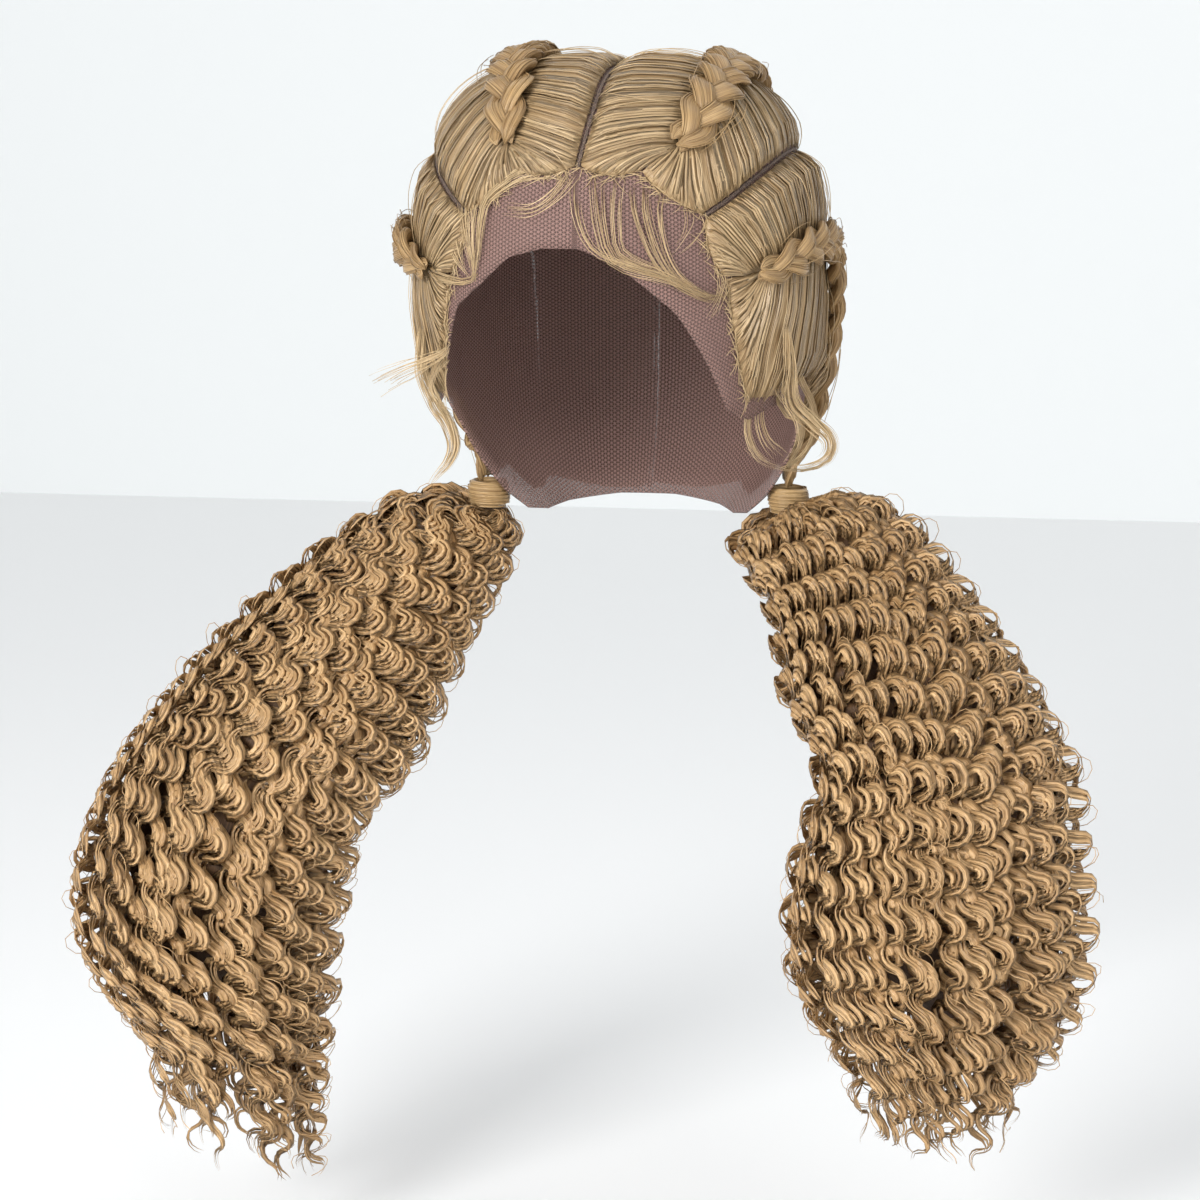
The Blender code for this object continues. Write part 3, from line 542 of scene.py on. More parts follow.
def line_length(rows):
    fine = scalp(smooth(place(rows), LINE_STEPS)[:, :3])
    return np.linalg.norm(np.diff(fine, axis=0), axis=1).sum()


def hairline_width(first, crest):
    start = np.zeros(1)
    return float(np.linalg.norm(comb_line(first, start) - comb_line(crest, start)))


def comb_grid(first, crest, swell, edges, points, late=0.0, gap=PART_HALF_GAP):
    """Paths of combed strands from a parting, or the hairline, to the crest of a braid.
    edges are metres along the parting, negative where the strand starts at the hairline,
    and a strand that starts late leaves that share of its way out."""
    length = line_length(first)
    hairline = hairline_width(first, crest)
    begin = np.linalg.norm(np.diff(place(crest[:2]), axis=0)) / length
    late = np.broadcast_to(late, len(edges))[:, None]
    gap = np.broadcast_to(gap, len(edges))[:, None]
    w = late + (1 - late) * np.linspace(0, 1, points)[None, :]
    edge = np.asarray(edges)[:, None]
    s0 = np.clip(-edge / hairline, 0, 1)
    q0 = np.clip(edge / length, 0, 1)
    q1 = np.clip(q0 + begin + COMB_SLANT / length * (1 - s0), 0, 1)
    bend = 1.5 - 0.6 * s0
    q = q0 + (q1 - q0) * w ** bend
    s = s0 + (1 - s0) * w
    a, b = comb_line(first, q), comb_line(crest, q)
    width = np.maximum(np.linalg.norm(a - b, axis=-1), 0.004)
    s = np.maximum(s, gap / width)
    aim = a + (b - a) * s[..., None]
    start, inwards = comb_line(first, np.array([0, INWARD_STEP]))
    forward = unit(start - inwards)
    bulge = HAIRLINE_BULGE * 4 * s0 * (1 - s0) * (1 - w) ** 2
    aim = aim + forward * bulge[..., None]
    full = [PANEL_THIN, swell["beside_braid"], swell["beside_braid"], swell["under_braid"]]
    thick = np.interp(s, [0, 0.25, 0.72, 1], full)
    faded = np.clip((q - NAPE_FADE[0]) / (NAPE_FADE[1] - NAPE_FADE[0]), 0, 1)
    low = 1 - (1 - NAPE_SWELL) * faded
    thick = PANEL_THIN + (thick - PANEL_THIN) * low * np.clip(0.35 + q * length / 0.03, 0, 1)
    ridge = np.abs(np.sin(math.pi * edge / SECTION)) ** 0.6 - 0.6
    thick = thick + SECTION_RISE * ridge * np.sin(math.pi * np.clip(s * 1.1, 0, 1))
    reach = np.linalg.norm(scalp(aim[:, -1]) - scalp(aim[:, 0]), axis=-1)[:, None]
    travelled = (w - late) * reach
    thick = thick * np.clip(travelled / 0.006, 0, 1) ** 0.6
    return aim, thick


def combed_half(batch, under, first, crest, swell, rng):
    """Strands, and the hair under them in a lower tone as painted shade, from one parting up to
    one braid.
    """
    length = line_length(first)
    hairline = hairline_width(first, crest)
    ends = -COMB_SHARE * hairline, length - COMB_SHORT
    edges = np.arange(*ends, COMB_PITCH * UNDER_COARSER)
    aim, thick = comb_grid(first, crest, swell, edges, COMB_POINTS, 0.05)
    rest = CAP_WALL + PANEL_CLEARANCE
    top = scalp(aim, rest + np.maximum(thick - UNDER_DROP, UNDER_THIN))
    bottom = scalp(aim, CAP_WALL + OVER_CAP)
    along = np.linspace(0.004, 0.045, COMB_POINTS)[None, :]
    uv = np.stack(np.broadcast_arrays(edges[:, None], along), -1)
    # Low tone 0.25 on the hair under the strands: painted shade in the gaps between strands.
    under.slab(top, bottom, uv, 0.25)
    count = int((length + hairline) / COMB_PITCH)
    edges = np.sort(rng.uniform(*ends, count))
    late = np.where(edges < 0, rng.uniform(0, 0.14, count) ** 1.5 * 2,
                    rng.uniform(0, 0.03, count))
    gap = PART_HALF_GAP * rng.uniform(0, 1.5, count)
    aim, thick = comb_grid(first, crest, swell, edges, COMB_POINTS, late, gap)
    lift = rest + thick + rng.normal(0, 0.00017, (count, 1)) - 0.0003
    lift += rng.normal(0, 0.00007, lift.shape)
    path = scalp(aim, lift)
    size = tapered(COMB_POINTS, 0.12, 0.05)
    wide = rng.uniform(0.55, 1.0, (count, 1)) * COMB_HALF_WIDE * size
    batch.tubes(path, normal_at(aim), wide, COMB_HALF_HIGH * size, RIBBON,
                rng.uniform(0.1, 0.95, count))


def hair_panel(name, first, crest, last, swell, finish, rng):
    batch = Batch()
    combed_half(batch, batch, first, crest, swell, rng)
    combed_half(batch, batch, last, crest, swell, rng)
    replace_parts(batch.build(name, finish, "blonde_combed_hair"), name[:-5])


def tie(side):
    flip = np.array([side, 1, 1])
    centre = HEAD_CENTRE + place([WRAP_PLACE])[0] * flip
    return centre, WRAP_AXIS * flip, unit(WRAP_SPREAD) * flip


def braid_path(crest, fall, strands, under, end_side, side):
    """Middle, width and height directions, scale and run of a braid from end to end."""
    centre, axis, spread = tie(side)
    offset = spread * (BRAID_END_OFFSET * WRAP_RADIUS * end_side)
    end = centre - axis * (WRAP_LENGTH / 2 + WRAP_GAP) - HEAD_CENTRE
    rows = np.vstack([place([(*row, 1) for row in crest]), place(fall),
                      [*(end - axis * END_RUN + offset * END_FLARE), 0],
                      [*(end + offset), 0]])
    length = np.linalg.norm(np.diff(rows[:, :3], axis=0), axis=1).sum()
    count = round(length / BRAID_STEP)
    rows = smooth(rows, count)
    travelled = np.linspace(0, length, count + 1)
    end_scale = BRAID_END_SHARE * WRAP_RADIUS / (strands["swing"] + strands["radius"])
    scale = np.minimum(1, np.minimum(
        BRAID_START_SCALE + (1 - BRAID_START_SCALE) * travelled / TAPER_LENGTH,
        end_scale + (1 - end_scale) * (length - travelled) / TAPER_LENGTH))
    half_height = (strands["rise"] + strands["radius"]) * strands["flatness"]
    rest = CAP_WALL + PANEL_CLEARANCE + under + BRAID_GAP
    lying = scalp(rows[:, :3], rest + half_height * scale)
    hug = np.clip(rows[:, 3:4], 0, 1)
    middle = (HEAD_CENTRE + rows[:, :3]) * (1 - hug) + lying * hug
    ahead = unit(np.gradient(middle, axis=0))
    wide = unit(np.cross(ahead, normal_at(rows[:, :3])))
    return middle, wide, np.cross(wide, ahead), scale, travelled


def braid(name, crest, fall, strands, under, end_side, side, finish, rng):
    """Three plump strands of hair that pass over each other in turn."""
    middle, wide, high, scale, travelled = braid_path(crest, fall, strands, under, end_side, side)
    batch = Batch()
    count = len(middle)
    size = scale * tapered(count, 0.012, 0.004)
    for k in range(3):
        turn = math.tau * (travelled / STRAND_PERIOD + k / 3)
        sway = strands["swing"] * np.sin(turn) * scale
        lift = strands["weave"] * np.sin(2 * turn) * scale
        path = middle + wide * sway[:, None] + high * lift[:, None]
        plump = 1 - 0.12 * np.cos(2 * turn)
        half_wide = strands["half_wide"] * size * plump
        half_high = strands["half_high"] * size / plump
        batch.tubes(path[None], high[None], half_wide[None], half_high[None],
                    ridged(BRAID_SIDES, 0.10, rng), 0.35 + 0.12 * k)
        ahead = unit(np.gradient(path, axis=0))
        across = unit(np.cross(high, ahead))
        above = np.cross(ahead, across)
        angle = rng.uniform(-0.25, math.pi + 0.25, (BRAID_HAIRS, 1))
        angle = angle + 0.25 * np.sin(travelled / 0.03 + rng.uniform(0, 6, (BRAID_HAIRS, 1)))
        reach = 1.02 + 0.05 * np.sin(travelled / 0.011 + rng.uniform(0, 6, (BRAID_HAIRS, 1)))
        hair = (path + across * (np.cos(angle) * reach * half_wide)[..., None]
                + above * (np.sin(angle) * reach * half_high)[..., None])
        batch.tubes(hair, np.broadcast_to(above, hair.shape), 0.00036, 0.00028,
                    THREAD, rng.uniform(0.3, 1.0, BRAID_HAIRS))
    rings = 16
    start = rng.integers(0, count - rings - 1, BRAID_FLYAWAYS)
    pick = start[:, None] + np.arange(rings)
    angle = rng.uniform(-0.3, math.pi + 0.3, (BRAID_FLYAWAYS, 1))
    angle = angle + rng.uniform(-1, 1, (BRAID_FLYAWAYS, 1)) * np.linspace(0, 1, rings)
    stand = 1.15 + 0.35 * np.sin(np.linspace(0.2, 2.9, rings)) * rng.random((BRAID_FLYAWAYS, 1))
    sweep = (strands["swing"] + strands["half_wide"]) * scale[pick] * np.cos(angle) * stand
    rise = (strands["weave"] + strands["half_high"]) * scale[pick] * np.sin(angle) * stand
    hair = middle[pick] + wide[pick] * sweep[..., None] + high[pick] * rise[..., None]
    batch.tubes(hair, high[pick], FINE_WIDE * tapered(rings, 0.2, 0.3), FINE_HIGH, THREAD,
                rng.uniform(0.5, 1.0, BRAID_FLYAWAYS))
    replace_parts(batch.build(name + "_hair", finish, "blonde_braided_hair"), name)


def hair_wrap(name, side, finish, rng):
    """Strand of hair wound round the braid ends, with its fine hairs."""
    centre, axis, _ = tie(side)
    t = np.linspace(0, 1, WRAP_TURNS * 20)
    turn = math.tau * WRAP_TURNS * t
    out = np.stack([np.cos(turn), np.sin(turn), np.zeros(len(t))], -1)
    reach = WRAP_RADIUS - 0.0014 + 0.0004 * np.sin(5 * turn / WRAP_TURNS)
    reach = reach - WRAP_ROUNDING * (2 * t - 1) ** 4
    path = centre + axis * ((t - 0.5) * (WRAP_LENGTH - 0.0028))[:, None] + out * reach[:, None]
    batch = Batch()
    size = tapered(len(t), 0.05, 0.05)
    batch.tubes(path[None], out[None], (0.0016 * size)[None], (0.0013 * size)[None],
                ridged(14, 0.15, rng), 0.6)
    for _ in range(8):
        shift = rng.uniform(-0.0012, 0.0012)
        hair = path + axis * shift + out * (0.0011 + rng.uniform(0, 0.0004))
        batch.tubes(hair[None], out[None], 0.0003, 0.00025, THREAD, rng.uniform(0.5, 1))
    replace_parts(batch.build(name + "_hair", finish, "blonde_wrapped_hair"), name)


def tail_sections(rows, size, side):
    centre, axis, _ = tie(side)
    top = centre + axis * (WRAP_LENGTH / 2 + WRAP_GAP)
    neck = NECK_SHARE * WRAP_RADIUS
    rows = np.array(rows)
    inner, outer = rows[:, 1] * size["spread"], rows[:, 2] * size["spread"]
    out = np.stack([top[0] + side * (inner + outer) / 2, top[1] - rows[:, 4] * TAIL_FORWARD,
                    top[2] - rows[:, 0] * size["length"], side * (outer - inner) / 2,
                    rows[:, 3] * size["length"] / 2, rows[:, 5] * TAIL_HALF_DEPTH], 1)
    return np.vstack([[*top, side * neck, 0, neck], out])


def envelope(sections, angle, share):
    """Points at an angle and a share of the radius, for every section of a ponytail."""
    across = np.stack([sections[:, 3], np.zeros(len(sections)), sections[:, 4]], -1)
    deep = np.stack([np.zeros(len(sections)), sections[:, 5], np.zeros(len(sections))], -1)
    cos, sin = np.cos(angle)[..., None], np.sin(angle)[..., None]
    share = np.asarray(share)[..., None]
    return sections[:, :3] + (across * cos + deep * sin) * share


def lock_lines(fine, angle, share, tip, step, rng):
    """Axis of a lock down the side of a ponytail, its directions and its run."""
    stray = WANDER * np.sin(np.linspace(0, 3, len(fine)) + rng.uniform(0, math.tau))
    axis = envelope(fine, angle + stray, np.full(len(fine), share))
    out = unit((axis - fine[:, :3]) * (1, LOCK_FACING, 1))
    drift = unit(0.4 * unit(axis[-1] - axis[-2]) + (0, 0, -1))
    fall = np.linspace(0, tip * TIP_REACH * rng.uniform(0, 1) ** 0.7, HANG_ROWS + 1)[1:]
    axis = np.vstack([axis, axis[-1] + drift * fall[:, None]])
    out = np.vstack([out, np.repeat(out[-1:], HANG_ROWS, 0)])
    run = travel(axis)
    want = np.arange(0, run[-1] - rng.uniform(0, 1) ** 2 * LENGTH_CUT, step)
    axis, out = (np.stack([np.interp(want, run, column) for column in rows.T], 1)
                 for rows in (axis, out))
    ahead = unit(np.gradient(axis, axis=0))
    out = unit(out - ahead * np.sum(out * ahead, 1, keepdims=True))
    return axis, ahead, out, np.cross(out, ahead), want


def curled(lines, phase, amount, shift):
    """Paths round the axis of a lock, and their outward directions."""
    axis, ahead, out, across, _ = lines
    cos, sin = np.cos(phase)[..., None], np.sin(phase)[..., None]
    amount = amount[..., None]
    deep = np.sin(phase + LOCK_TURN)[..., None]
    onward = LOCK_PERIOD / math.tau + 2 * LOCK_ROUND * amount * np.cos(2 * phase)[..., None]
    aside = unit(across * onward + ahead * sin * LOCK_SWING * amount)
    path = (axis + across * cos * LOCK_SWING * amount + out * deep * LOCK_DEPTH * amount
            + ahead * np.sin(2 * phase)[..., None] * LOCK_ROUND * amount
            + aside * shift[..., None])
    return path, unit(out + LOCK_ROLL * (across * cos + out * deep))


def waves(want, count, length, rng):
    """Slow random waves along a run, one for each of count strands."""
    return np.sin(want / length + rng.uniform(0, math.tau, (count, 1)))


def lock_layer(name, fine, tip, side, layer, number, finish, rng):
    """Ring of corkscrew locks, each of several strands that part and meet again."""
    batch, strays = Batch(), []
    for k in range(layer["locks"]):
        angle = math.tau * (k + 0.5 * number + rng.uniform(-0.22, 0.22)) / layer["locks"]
        angle = angle + LOCK_CROWDING * math.sin(2 * angle)
        share = layer["share"] * rng.uniform(0.92, 1.06)
        lines = lock_lines(fine, angle, share, tip, layer["step"], rng)
        want = lines[-1]
        cluster, member = divmod(k, CLUSTER)
        period = LOCK_PERIOD * (1 + 0.10 * math.sin(1.7 * cluster + number))
        first = 2.4 * cluster + CLUSTER_LAG * side * member + rng.normal(0, 0.3)
        phase = first + math.tau * want / period
        phase = phase + 0.6 * waves(want, 1, 0.06, rng)[0] + 0.3 * waves(want, 1, 0.021, rng)[0]
        grow = np.clip(0.3 + want / GROWTH, 0, 1)
        end = np.clip((want[-1] - want) / TIP_RUN, 0, 1)
        amount = grow * (0.75 + 0.25 * end) * rng.uniform(0.85, 1.15)
        amount = amount * (1 + 0.12 * waves(want, 1, 0.03, rng)[0])
        count = rng.integers(*layer["strands"])
        lag = rng.normal(0, 0.18, (count, 1)) + 0.16 * waves(want, count, 0.025, rng)
        loose = 1 + rng.normal(0, 0.07, (count, 1)) + 0.08 * waves(want, count, 0.02, rng)
        place_along = (np.arange(count) + 0.5) / count * 2 - 1
        shift = LOCK_SPREAD * (place_along[:, None] + 0.25 * waves(want, count, 0.015, rng))
        shift = shift * (0.3 + 0.7 * end) * grow
        path, outward = curled(lines, phase + lag, amount * loose, shift)
        size = np.clip(0.5 + want / GROWTH, 0, 1) * (0.3 + 0.7 * end)
        size = size * tapered(len(want), 0.02, 0.03)
        wide = layer["half_wide"] * size * rng.uniform(0.75, 1.25, (count, 1))
        tone = rng.uniform(0.3, 0.8) + rng.uniform(-0.2, 0.2, count)
        # The inner ring's tone is cut by 35 %: painted shade under the outer ring.
        batch.tubes(path, outward, wide, wide * FLATNESS, RIBBON, tone * (1 - 0.35 * number))
        strays.append((lines, phase, amount))
    return batch.build(f"{name}_locks_{number + 1}", finish, "blonde_curly_hair"), strays


def stray_hairs(name, strays, finish, rng):
    """Long fine hairs beside the locks, and short frizzy ones."""
    batch = Batch()
    for k in rng.integers(0, len(strays), FLYAWAYS):
        lines, phase, amount = strays[k]
        want = lines[-1]
        lag = rng.normal(0, 0.8) + 0.5 * waves(want, 1, 0.03, rng)
        loose = rng.uniform(0.9, 1.5) + 0.3 * waves(want, 1, 0.022, rng)
        path, outward = curled(lines, phase + lag, amount * loose, np.zeros((1, len(want))))
        batch.tubes(path, outward, 0.00022, 0.00018, THREAD, rng.uniform(0.4, 1.0))
    for k in rng.integers(0, len(strays), FRIZZ):
        lines, phase, amount = strays[k]
        last = len(lines[-1]) - FRIZZ_RINGS
        start = int(last * rng.uniform(0.1, 1.0) ** 0.6)
        part = slice(start, start + FRIZZ_RINGS)
        lines = tuple(rows[part] for rows in lines)
        turn = phase[part] * rng.uniform(0.8, 1.3) + rng.uniform(0, math.tau)
        loose = rng.uniform(0.8, 1.3) + np.linspace(0, rng.uniform(0, 0.9), FRIZZ_RINGS)
        path, outward = curled(lines, turn[None], (amount[part] * loose)[None],
                               np.zeros((1, FRIZZ_RINGS)))
        batch.tubes(path, outward, FINE_WIDE * tapered(FRIZZ_RINGS, 0.2, 0.3), FINE_HIGH,
                    THREAD, rng.uniform(0.4, 1.0))
    batch.build(name + "_strays", finish, "blonde_curly_hair")


def ponytail(name, rows, size, side, hair, rng):
    """Corkscrew locks in two layers round dense hair that is painted dark as shade, with loose
    hairs and curly tips.
    """
    fine = smooth(tail_sections(rows, size, side), TAIL_ROWS)
    run = travel(fine[:, :3])[::2]
    fall = run / run[-1]
    close = np.clip((CORE_END - fall) / CORE_END / 0.3, 0.02, 1) ** 0.5
    shell = []
    for angle in math.tau * np.arange(CORE_SIDES) / CORE_SIDES:
        ridge = CORE_RIDGE * np.sin(5 * angle + math.tau * run / LOCK_PERIOD)
        shell.append(envelope(fine[::2], np.full(len(run), angle), (CORE_SHARE + ridge) * close))
    # The core's dark finish and low tone 0.2 are painted shade between the curls.
    core = Batch()
    outward_ring(core, np.stack(shell, 1)[fall < CORE_END])
    core.build(name + "_core", hair["inner_hair"], "blonde_curly_hair")
    for number, layer in enumerate(LOCK_RINGS):
        piece, strays = lock_layer(name, fine, size["tip"], side, layer, number,
                                   hair["curly_hair"], rng)
        if number == 0:
            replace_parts(piece, name)
            outer = strays
    stray_hairs(name, outer, hair["curly_hair"], rng)


def outward_ring(batch, shell):
    """Closed body through rings of points, (ring, side, 3), facing outwards."""
    rings, sides, _ = shell.shape
    faces = ring_quads(rings, sides)
    ends = np.arange(sides)[::-1], np.arange(sides) + (rings - 1) * sides
    a, b, c = shell[1, 0], shell[1, 1], shell[2, 0]
    if np.dot(np.cross(b - a, c - a), a - shell[1].mean(0)) < 0:
        faces = faces[:, ::-1]
        ends = [end[::-1] for end in ends]
    u = np.broadcast_to(np.arange(sides)[None, :] * CORE_MESH[0], (rings, sides))
    v = np.broadcast_to(np.arange(rings)[:, None] * CORE_MESH[1], (rings, sides))
    # Low tone 0.2 for the dark core of a ponytail: painted shade.
    batch.rings(shell, faces, np.stack([u, v], -1).reshape(-1, 2), ends, 0.2)


def lace_cap(finish):
    """Thin net over the head form, down to the edge of the cap."""
    turn = np.linspace(0, 360, CAP_COLUMNS, endpoint=False)
    signed = (turn + 180) % 360 - 180
    degrees = np.arange(0, 181, EDGE_STEP)
    left, right = (np.interp(np.abs(signed), degrees, edge + BACK_EDGE)
                   for edge in (LEFT_EDGE, RIGHT_EDGE))
    share = np.where(signed >= 0, left, right)
    goal = share * np.where(share > 0, CROWN_HEIGHT, NAPE_DEPTH)
    low, high = (np.full(CAP_COLUMNS, fall) for fall in CAP_SEARCH)

    def facing(fall):
        around = np.radians(turn)
        return np.stack([np.sin(around) * np.sin(fall), -np.cos(around) * np.sin(fall),
                         np.cos(fall)], -1)

    for _ in range(CAP_HALVINGS):
        angle = (low + high) / 2
        above = scalp(facing(angle))[:, 2] - HEAD_CENTRE[2] > goal
        low, high = np.where(above, angle, low), np.where(above, high, angle)
    falls = angle[None] * np.linspace(0.02, 1, CAP_ROWS)[:, None]
    outer, inner = scalp(facing(falls), CAP_WALL), scalp(facing(falls), 0.0)
    shell = np.concatenate([outer, inner[::-1]])
    batch = Batch()
    rings, sides, _ = shell.shape
    faces = ring_quads(rings, sides)[:, [0, 3, 2, 1]]
    spin = np.broadcast_to(np.arange(sides)[None] / sides * NET_ROUND, (rings, sides))
    drop = np.concatenate([falls, falls[::-1]]) * NET_DROP
    ends = np.arange(sides), (np.arange(sides) + (rings - 1) * sides)[::-1]
    batch.rings(shell, faces, np.stack([spin, drop], -1).reshape(-1, 2), ends, 0.5)
    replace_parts(batch.build("lace_cap_net", finish, "lace"), "lace_cap")


def partings(finish):
    """Knotted root lines that show between the combed sections."""
    batch = Batch()
    rng = np.random.default_rng(5)
    for line in (CENTRE_PART, SIDE_PART, mirrored(SIDE_PART)):
        aim = comb_line(line, np.linspace(0, 1, PART_RINGS))
        path = scalp(aim, CAP_WALL + OVER_CAP)
        wide = PART_STRIP * rng.uniform(0.6, 1.3, (1, PART_RINGS))
        batch.tubes(path[None], normal_at(aim)[None], wide, 0.0002, circle(6), 0.2)
    batch.build("partings", finish, "lace")


def on_head(pixels, lift, hangs):
    """Points over the head form at pixels of the photo. Where a pixel misses the head,
    or the hair hangs free, the point is as far away as the one before it."""
    rays = []
    turn = np.array([[math.cos(CAMERA_YAW), math.sin(CAMERA_YAW), 0],
                     [-math.sin(CAMERA_YAW), math.cos(CAMERA_YAW), 0], [0, 0, 1]])
    tilt = np.array([[1, 0, 0], [0, math.cos(CAMERA_PITCH), -math.sin(CAMERA_PITCH)],
                     [0, math.sin(CAMERA_PITCH), math.cos(CAMERA_PITCH)]])
    for x, y in pixels / PHOTO_SIZE:
        rays.append([(x - 0.5) / FOCAL_SHARE, 1, (0.5 - y) / FOCAL_SHARE])
    rays = unit(np.array(rays)) @ tilt @ turn
    eye = np.array(CAMERA_PLACE)
    away = np.linspace(*HEAD_RANGE, RAY_STEPS)
    points, last = [], None
    for ray in rays:
        along = eye + ray * away[:, None] - HEAD_CENTRE
        form = scalp(along) - HEAD_CENTRE
        inside = np.linalg.norm(along, axis=1) < np.linalg.norm(form, axis=1)
        hit = bool(inside.any()) and not (hangs and points)
        if hit:
            last = away[inside.argmax()]
        points.append((eye + ray * last, hit))
    return np.array([point + (normal_at(point - HEAD_CENTRE) * (CAP_WALL + rise) if hit else 0)
                     for (point, hit), rise in zip(points, lift)])


def swept_hairs(batch, rng):
    """Fine hairs that sweep over the lace."""
    for hairs, root_width, tip_width, hangs, line in SWEPT_HAIR:
        pixels = np.array(line, float).reshape(-1, 2)
        rise = 0.0006 + 0.0022 * np.sin(np.linspace(0, math.pi * 0.8, len(pixels)))
        middle = smooth(on_head(pixels, rise, hangs), SWEPT_RINGS)
        up = normal_at(middle - HEAD_CENTRE)
        across = unit(np.cross(np.gradient(middle, axis=0), up))
        t = np.linspace(0, 1, SWEPT_RINGS + 1)[:, None]
        for _ in range(hairs):
            spread = (root_width * (1 - t) ** 1.5 + tip_width * t) * rng.uniform(-1, 1)
            wave = 0.0008 * np.sin(t * rng.uniform(3, 9) + rng.uniform(0, 6))
            wave = wave * rng.uniform(0.3, 1)
            lift = rng.uniform(0, 0.0012) * np.sin(t * 3)
            path = middle + across * (spread + wave) + up * lift
            first = int(rng.uniform(0, 0.15) * SWEPT_RINGS)
            last = SWEPT_RINGS + 1 - int(rng.uniform(0, 0.3) * SWEPT_RINGS)
            batch.tubes(path[None, first:last], up[None, first:last],
                        0.00014 * tapered(last - first, 0.1, 0.4), 0.00012, THREAD,
                        rng.uniform(0.4, 1))


def root_hairs(batch, first, crest, rng):
    """Short hairs along the hairline in front of half a panel."""
    start, end = comb_line(first, np.zeros(1))[0], comb_line(crest, np.zeros(1))[0]
    count = int(np.linalg.norm(end - start) / ROOT_PITCH)
    share = rng.random((count, 1))
    forward = unit(start - comb_line(first, np.array([INWARD_STEP]))[0])
    roots = start + (end - start) * share + forward * HAIRLINE_BULGE * 4 * share * (1 - share)
    sideways = unit(end - start)
    way = forward * rng.uniform(-0.2, 1, (count, 1)) + sideways * rng.normal(0, 0.8, (count, 1))
    t = np.linspace(0, 1, ROOT_RINGS)[None, :, None]
    length = rng.uniform(*ROOT_LENGTH, (count, 1, 1))
    curve = rng.normal(0, 0.5, (count, 1, 1)) * t * t
    aim = roots[:, None] + way[:, None] * length * t + sideways * curve * length
    aim = aim - forward * 0.001
    lift = CAP_WALL + 0.0004 + 0.0018 * rng.random((count, 1)) * np.sin(t[..., 0] * 2.6)
    batch.tubes(scalp(aim, lift), normal_at(aim), FINE_WIDE * tapered(ROOT_RINGS, 0.2, 0.5),
                0.00015, THREAD, rng.uniform(0.5, 1, count))


def head_flyaways(batch, first, crest, swell, rng):
    """Hairs that stand a little off the combed hair of half a panel."""
    edges = rng.uniform(-0.01, line_length(first) - 0.01, HEAD_FLYAWAYS)
    aim, thick = comb_grid(first, crest, swell, edges, SWEPT_RINGS)
    bow = np.sin(math.pi * np.linspace(0, 1, SWEPT_RINGS)[None, :])
    rise = rng.uniform(0.0004, 0.0032, (HEAD_FLYAWAYS, 1)) * bow
    bend = rng.normal(0, 0.004, (HEAD_FLYAWAYS, 1)) * bow
    across = unit(np.cross(np.gradient(aim, axis=1), aim))
    path = scalp(aim + across * bend[..., None], CAP_WALL + PANEL_CLEARANCE + thick + rise)
    batch.tubes(path, normal_at(aim), FINE_WIDE * tapered(SWEPT_RINGS, 0.2, 0.4), FINE_HIGH,
                THREAD, rng.uniform(0.5, 1, HEAD_FLYAWAYS))


def loose_hairs(finish):
    """All fine hairs over the lace, at the hairline and off the combed hair."""
    rng = np.random.default_rng(40)
    batch = Batch()
    halves = [(CENTRE_PART, LEFT_TOP_CREST, TOP_PANEL), (CENTRE_PART, RIGHT_TOP_CREST, TOP_PANEL),
              (SIDE_PART, LEFT_TOP_CREST, TOP_PANEL),
              (mirrored(SIDE_PART), RIGHT_TOP_CREST, TOP_PANEL)]
    for line in (SIDE_PART, EAR_EDGE):
        halves += [(line, SIDE_CREST, LEFT_SIDE_PANEL),
                   (mirrored(line), mirrored(SIDE_CREST), RIGHT_SIDE_PANEL)]
    swept_hairs(batch, rng)
    for first, crest, _ in halves:
        root_hairs(batch, first, crest, rng)
    for first, crest, swell in halves:
        head_flyaways(batch, first, crest, swell, rng)
    batch.build("loose_fine_hairs", finish, "blonde_fine_hair")


def temple_curl(name, rows, under, finish, rng):
    """Loose tapering curl of fine hairs in front of an ear."""
    rows = smooth(place(rows), 60)
    radius = rows[:, 3] * CURL_RADIUS
    lying = scalp(rows[:, :3], CAP_WALL + PANEL_CLEARANCE + under + BRAID_GAP + radius)
    hug = np.clip(rows[:, 4:5], 0, 1)
    path = (HEAD_CENTRE + rows[:, :3]) * (1 - hug) + lying * hug
    ahead = unit(np.gradient(path, axis=0))
    wide = unit(np.cross(ahead, [0, 1, 0]))
    deep = np.cross(ahead, wide)
    t = np.linspace(0, 1, len(path))
    batch = Batch()
    for _ in range(CURL_HAIRS):
        angle = rng.uniform(0, math.tau) + 2.5 * t * rng.uniform(0.5, 1.5)
        reach = radius * rng.uniform(0.2, 1.3) * (1 + 0.5 * t)
        hair = (path + wide * (np.cos(angle) * reach)[:, None]
                + deep * (np.sin(angle) * reach)[:, None])
        last = int(len(path) * rng.uniform(0.75, 1))
        batch.tubes(hair[None, :last], wide[None, :last], FINE_WIDE * tapered(last, 0.05, 0.2),
                    FINE_HIGH * tapered(last, 0.05, 0.2), THREAD, rng.uniform(0.3, 1))
    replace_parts(batch.build(name + "_hair", finish, "blonde_fine_hair"), name)


def feed(tree, made, inputs):
    """Gives the inputs of a node their values, or links them to outputs of other nodes."""
    for key, value in inputs.items():
        if isinstance(value, bpy.types.NodeSocket):
            tree.links.new(value, made.inputs[key])
        else:
            made.inputs[key].default_value = value


def node(tree, kind, inputs, **settings):
    """Outputs of a new node."""
    made = tree.nodes.new(kind)
    for key, value in settings.items():
        setattr(made, key, value)
    feed(tree, made, inputs)
    return made.outputs


def maths(tree, operation, a, b=0.0):
    return node(tree, "ShaderNodeMath", {0: a, 1: b}, operation=operation)[0]


def strand_place(tree):
    """Metres across and along a strand."""
    return node(tree, "ShaderNodeUVMap", {}, uv_map="strand")[0]


def stretched(tree, value, low, high):
    """Share of the way from low to high."""
    return node(tree, "ShaderNodeMapRange",
                {"Value": value, "From Min": low, "From Max": high})[0]


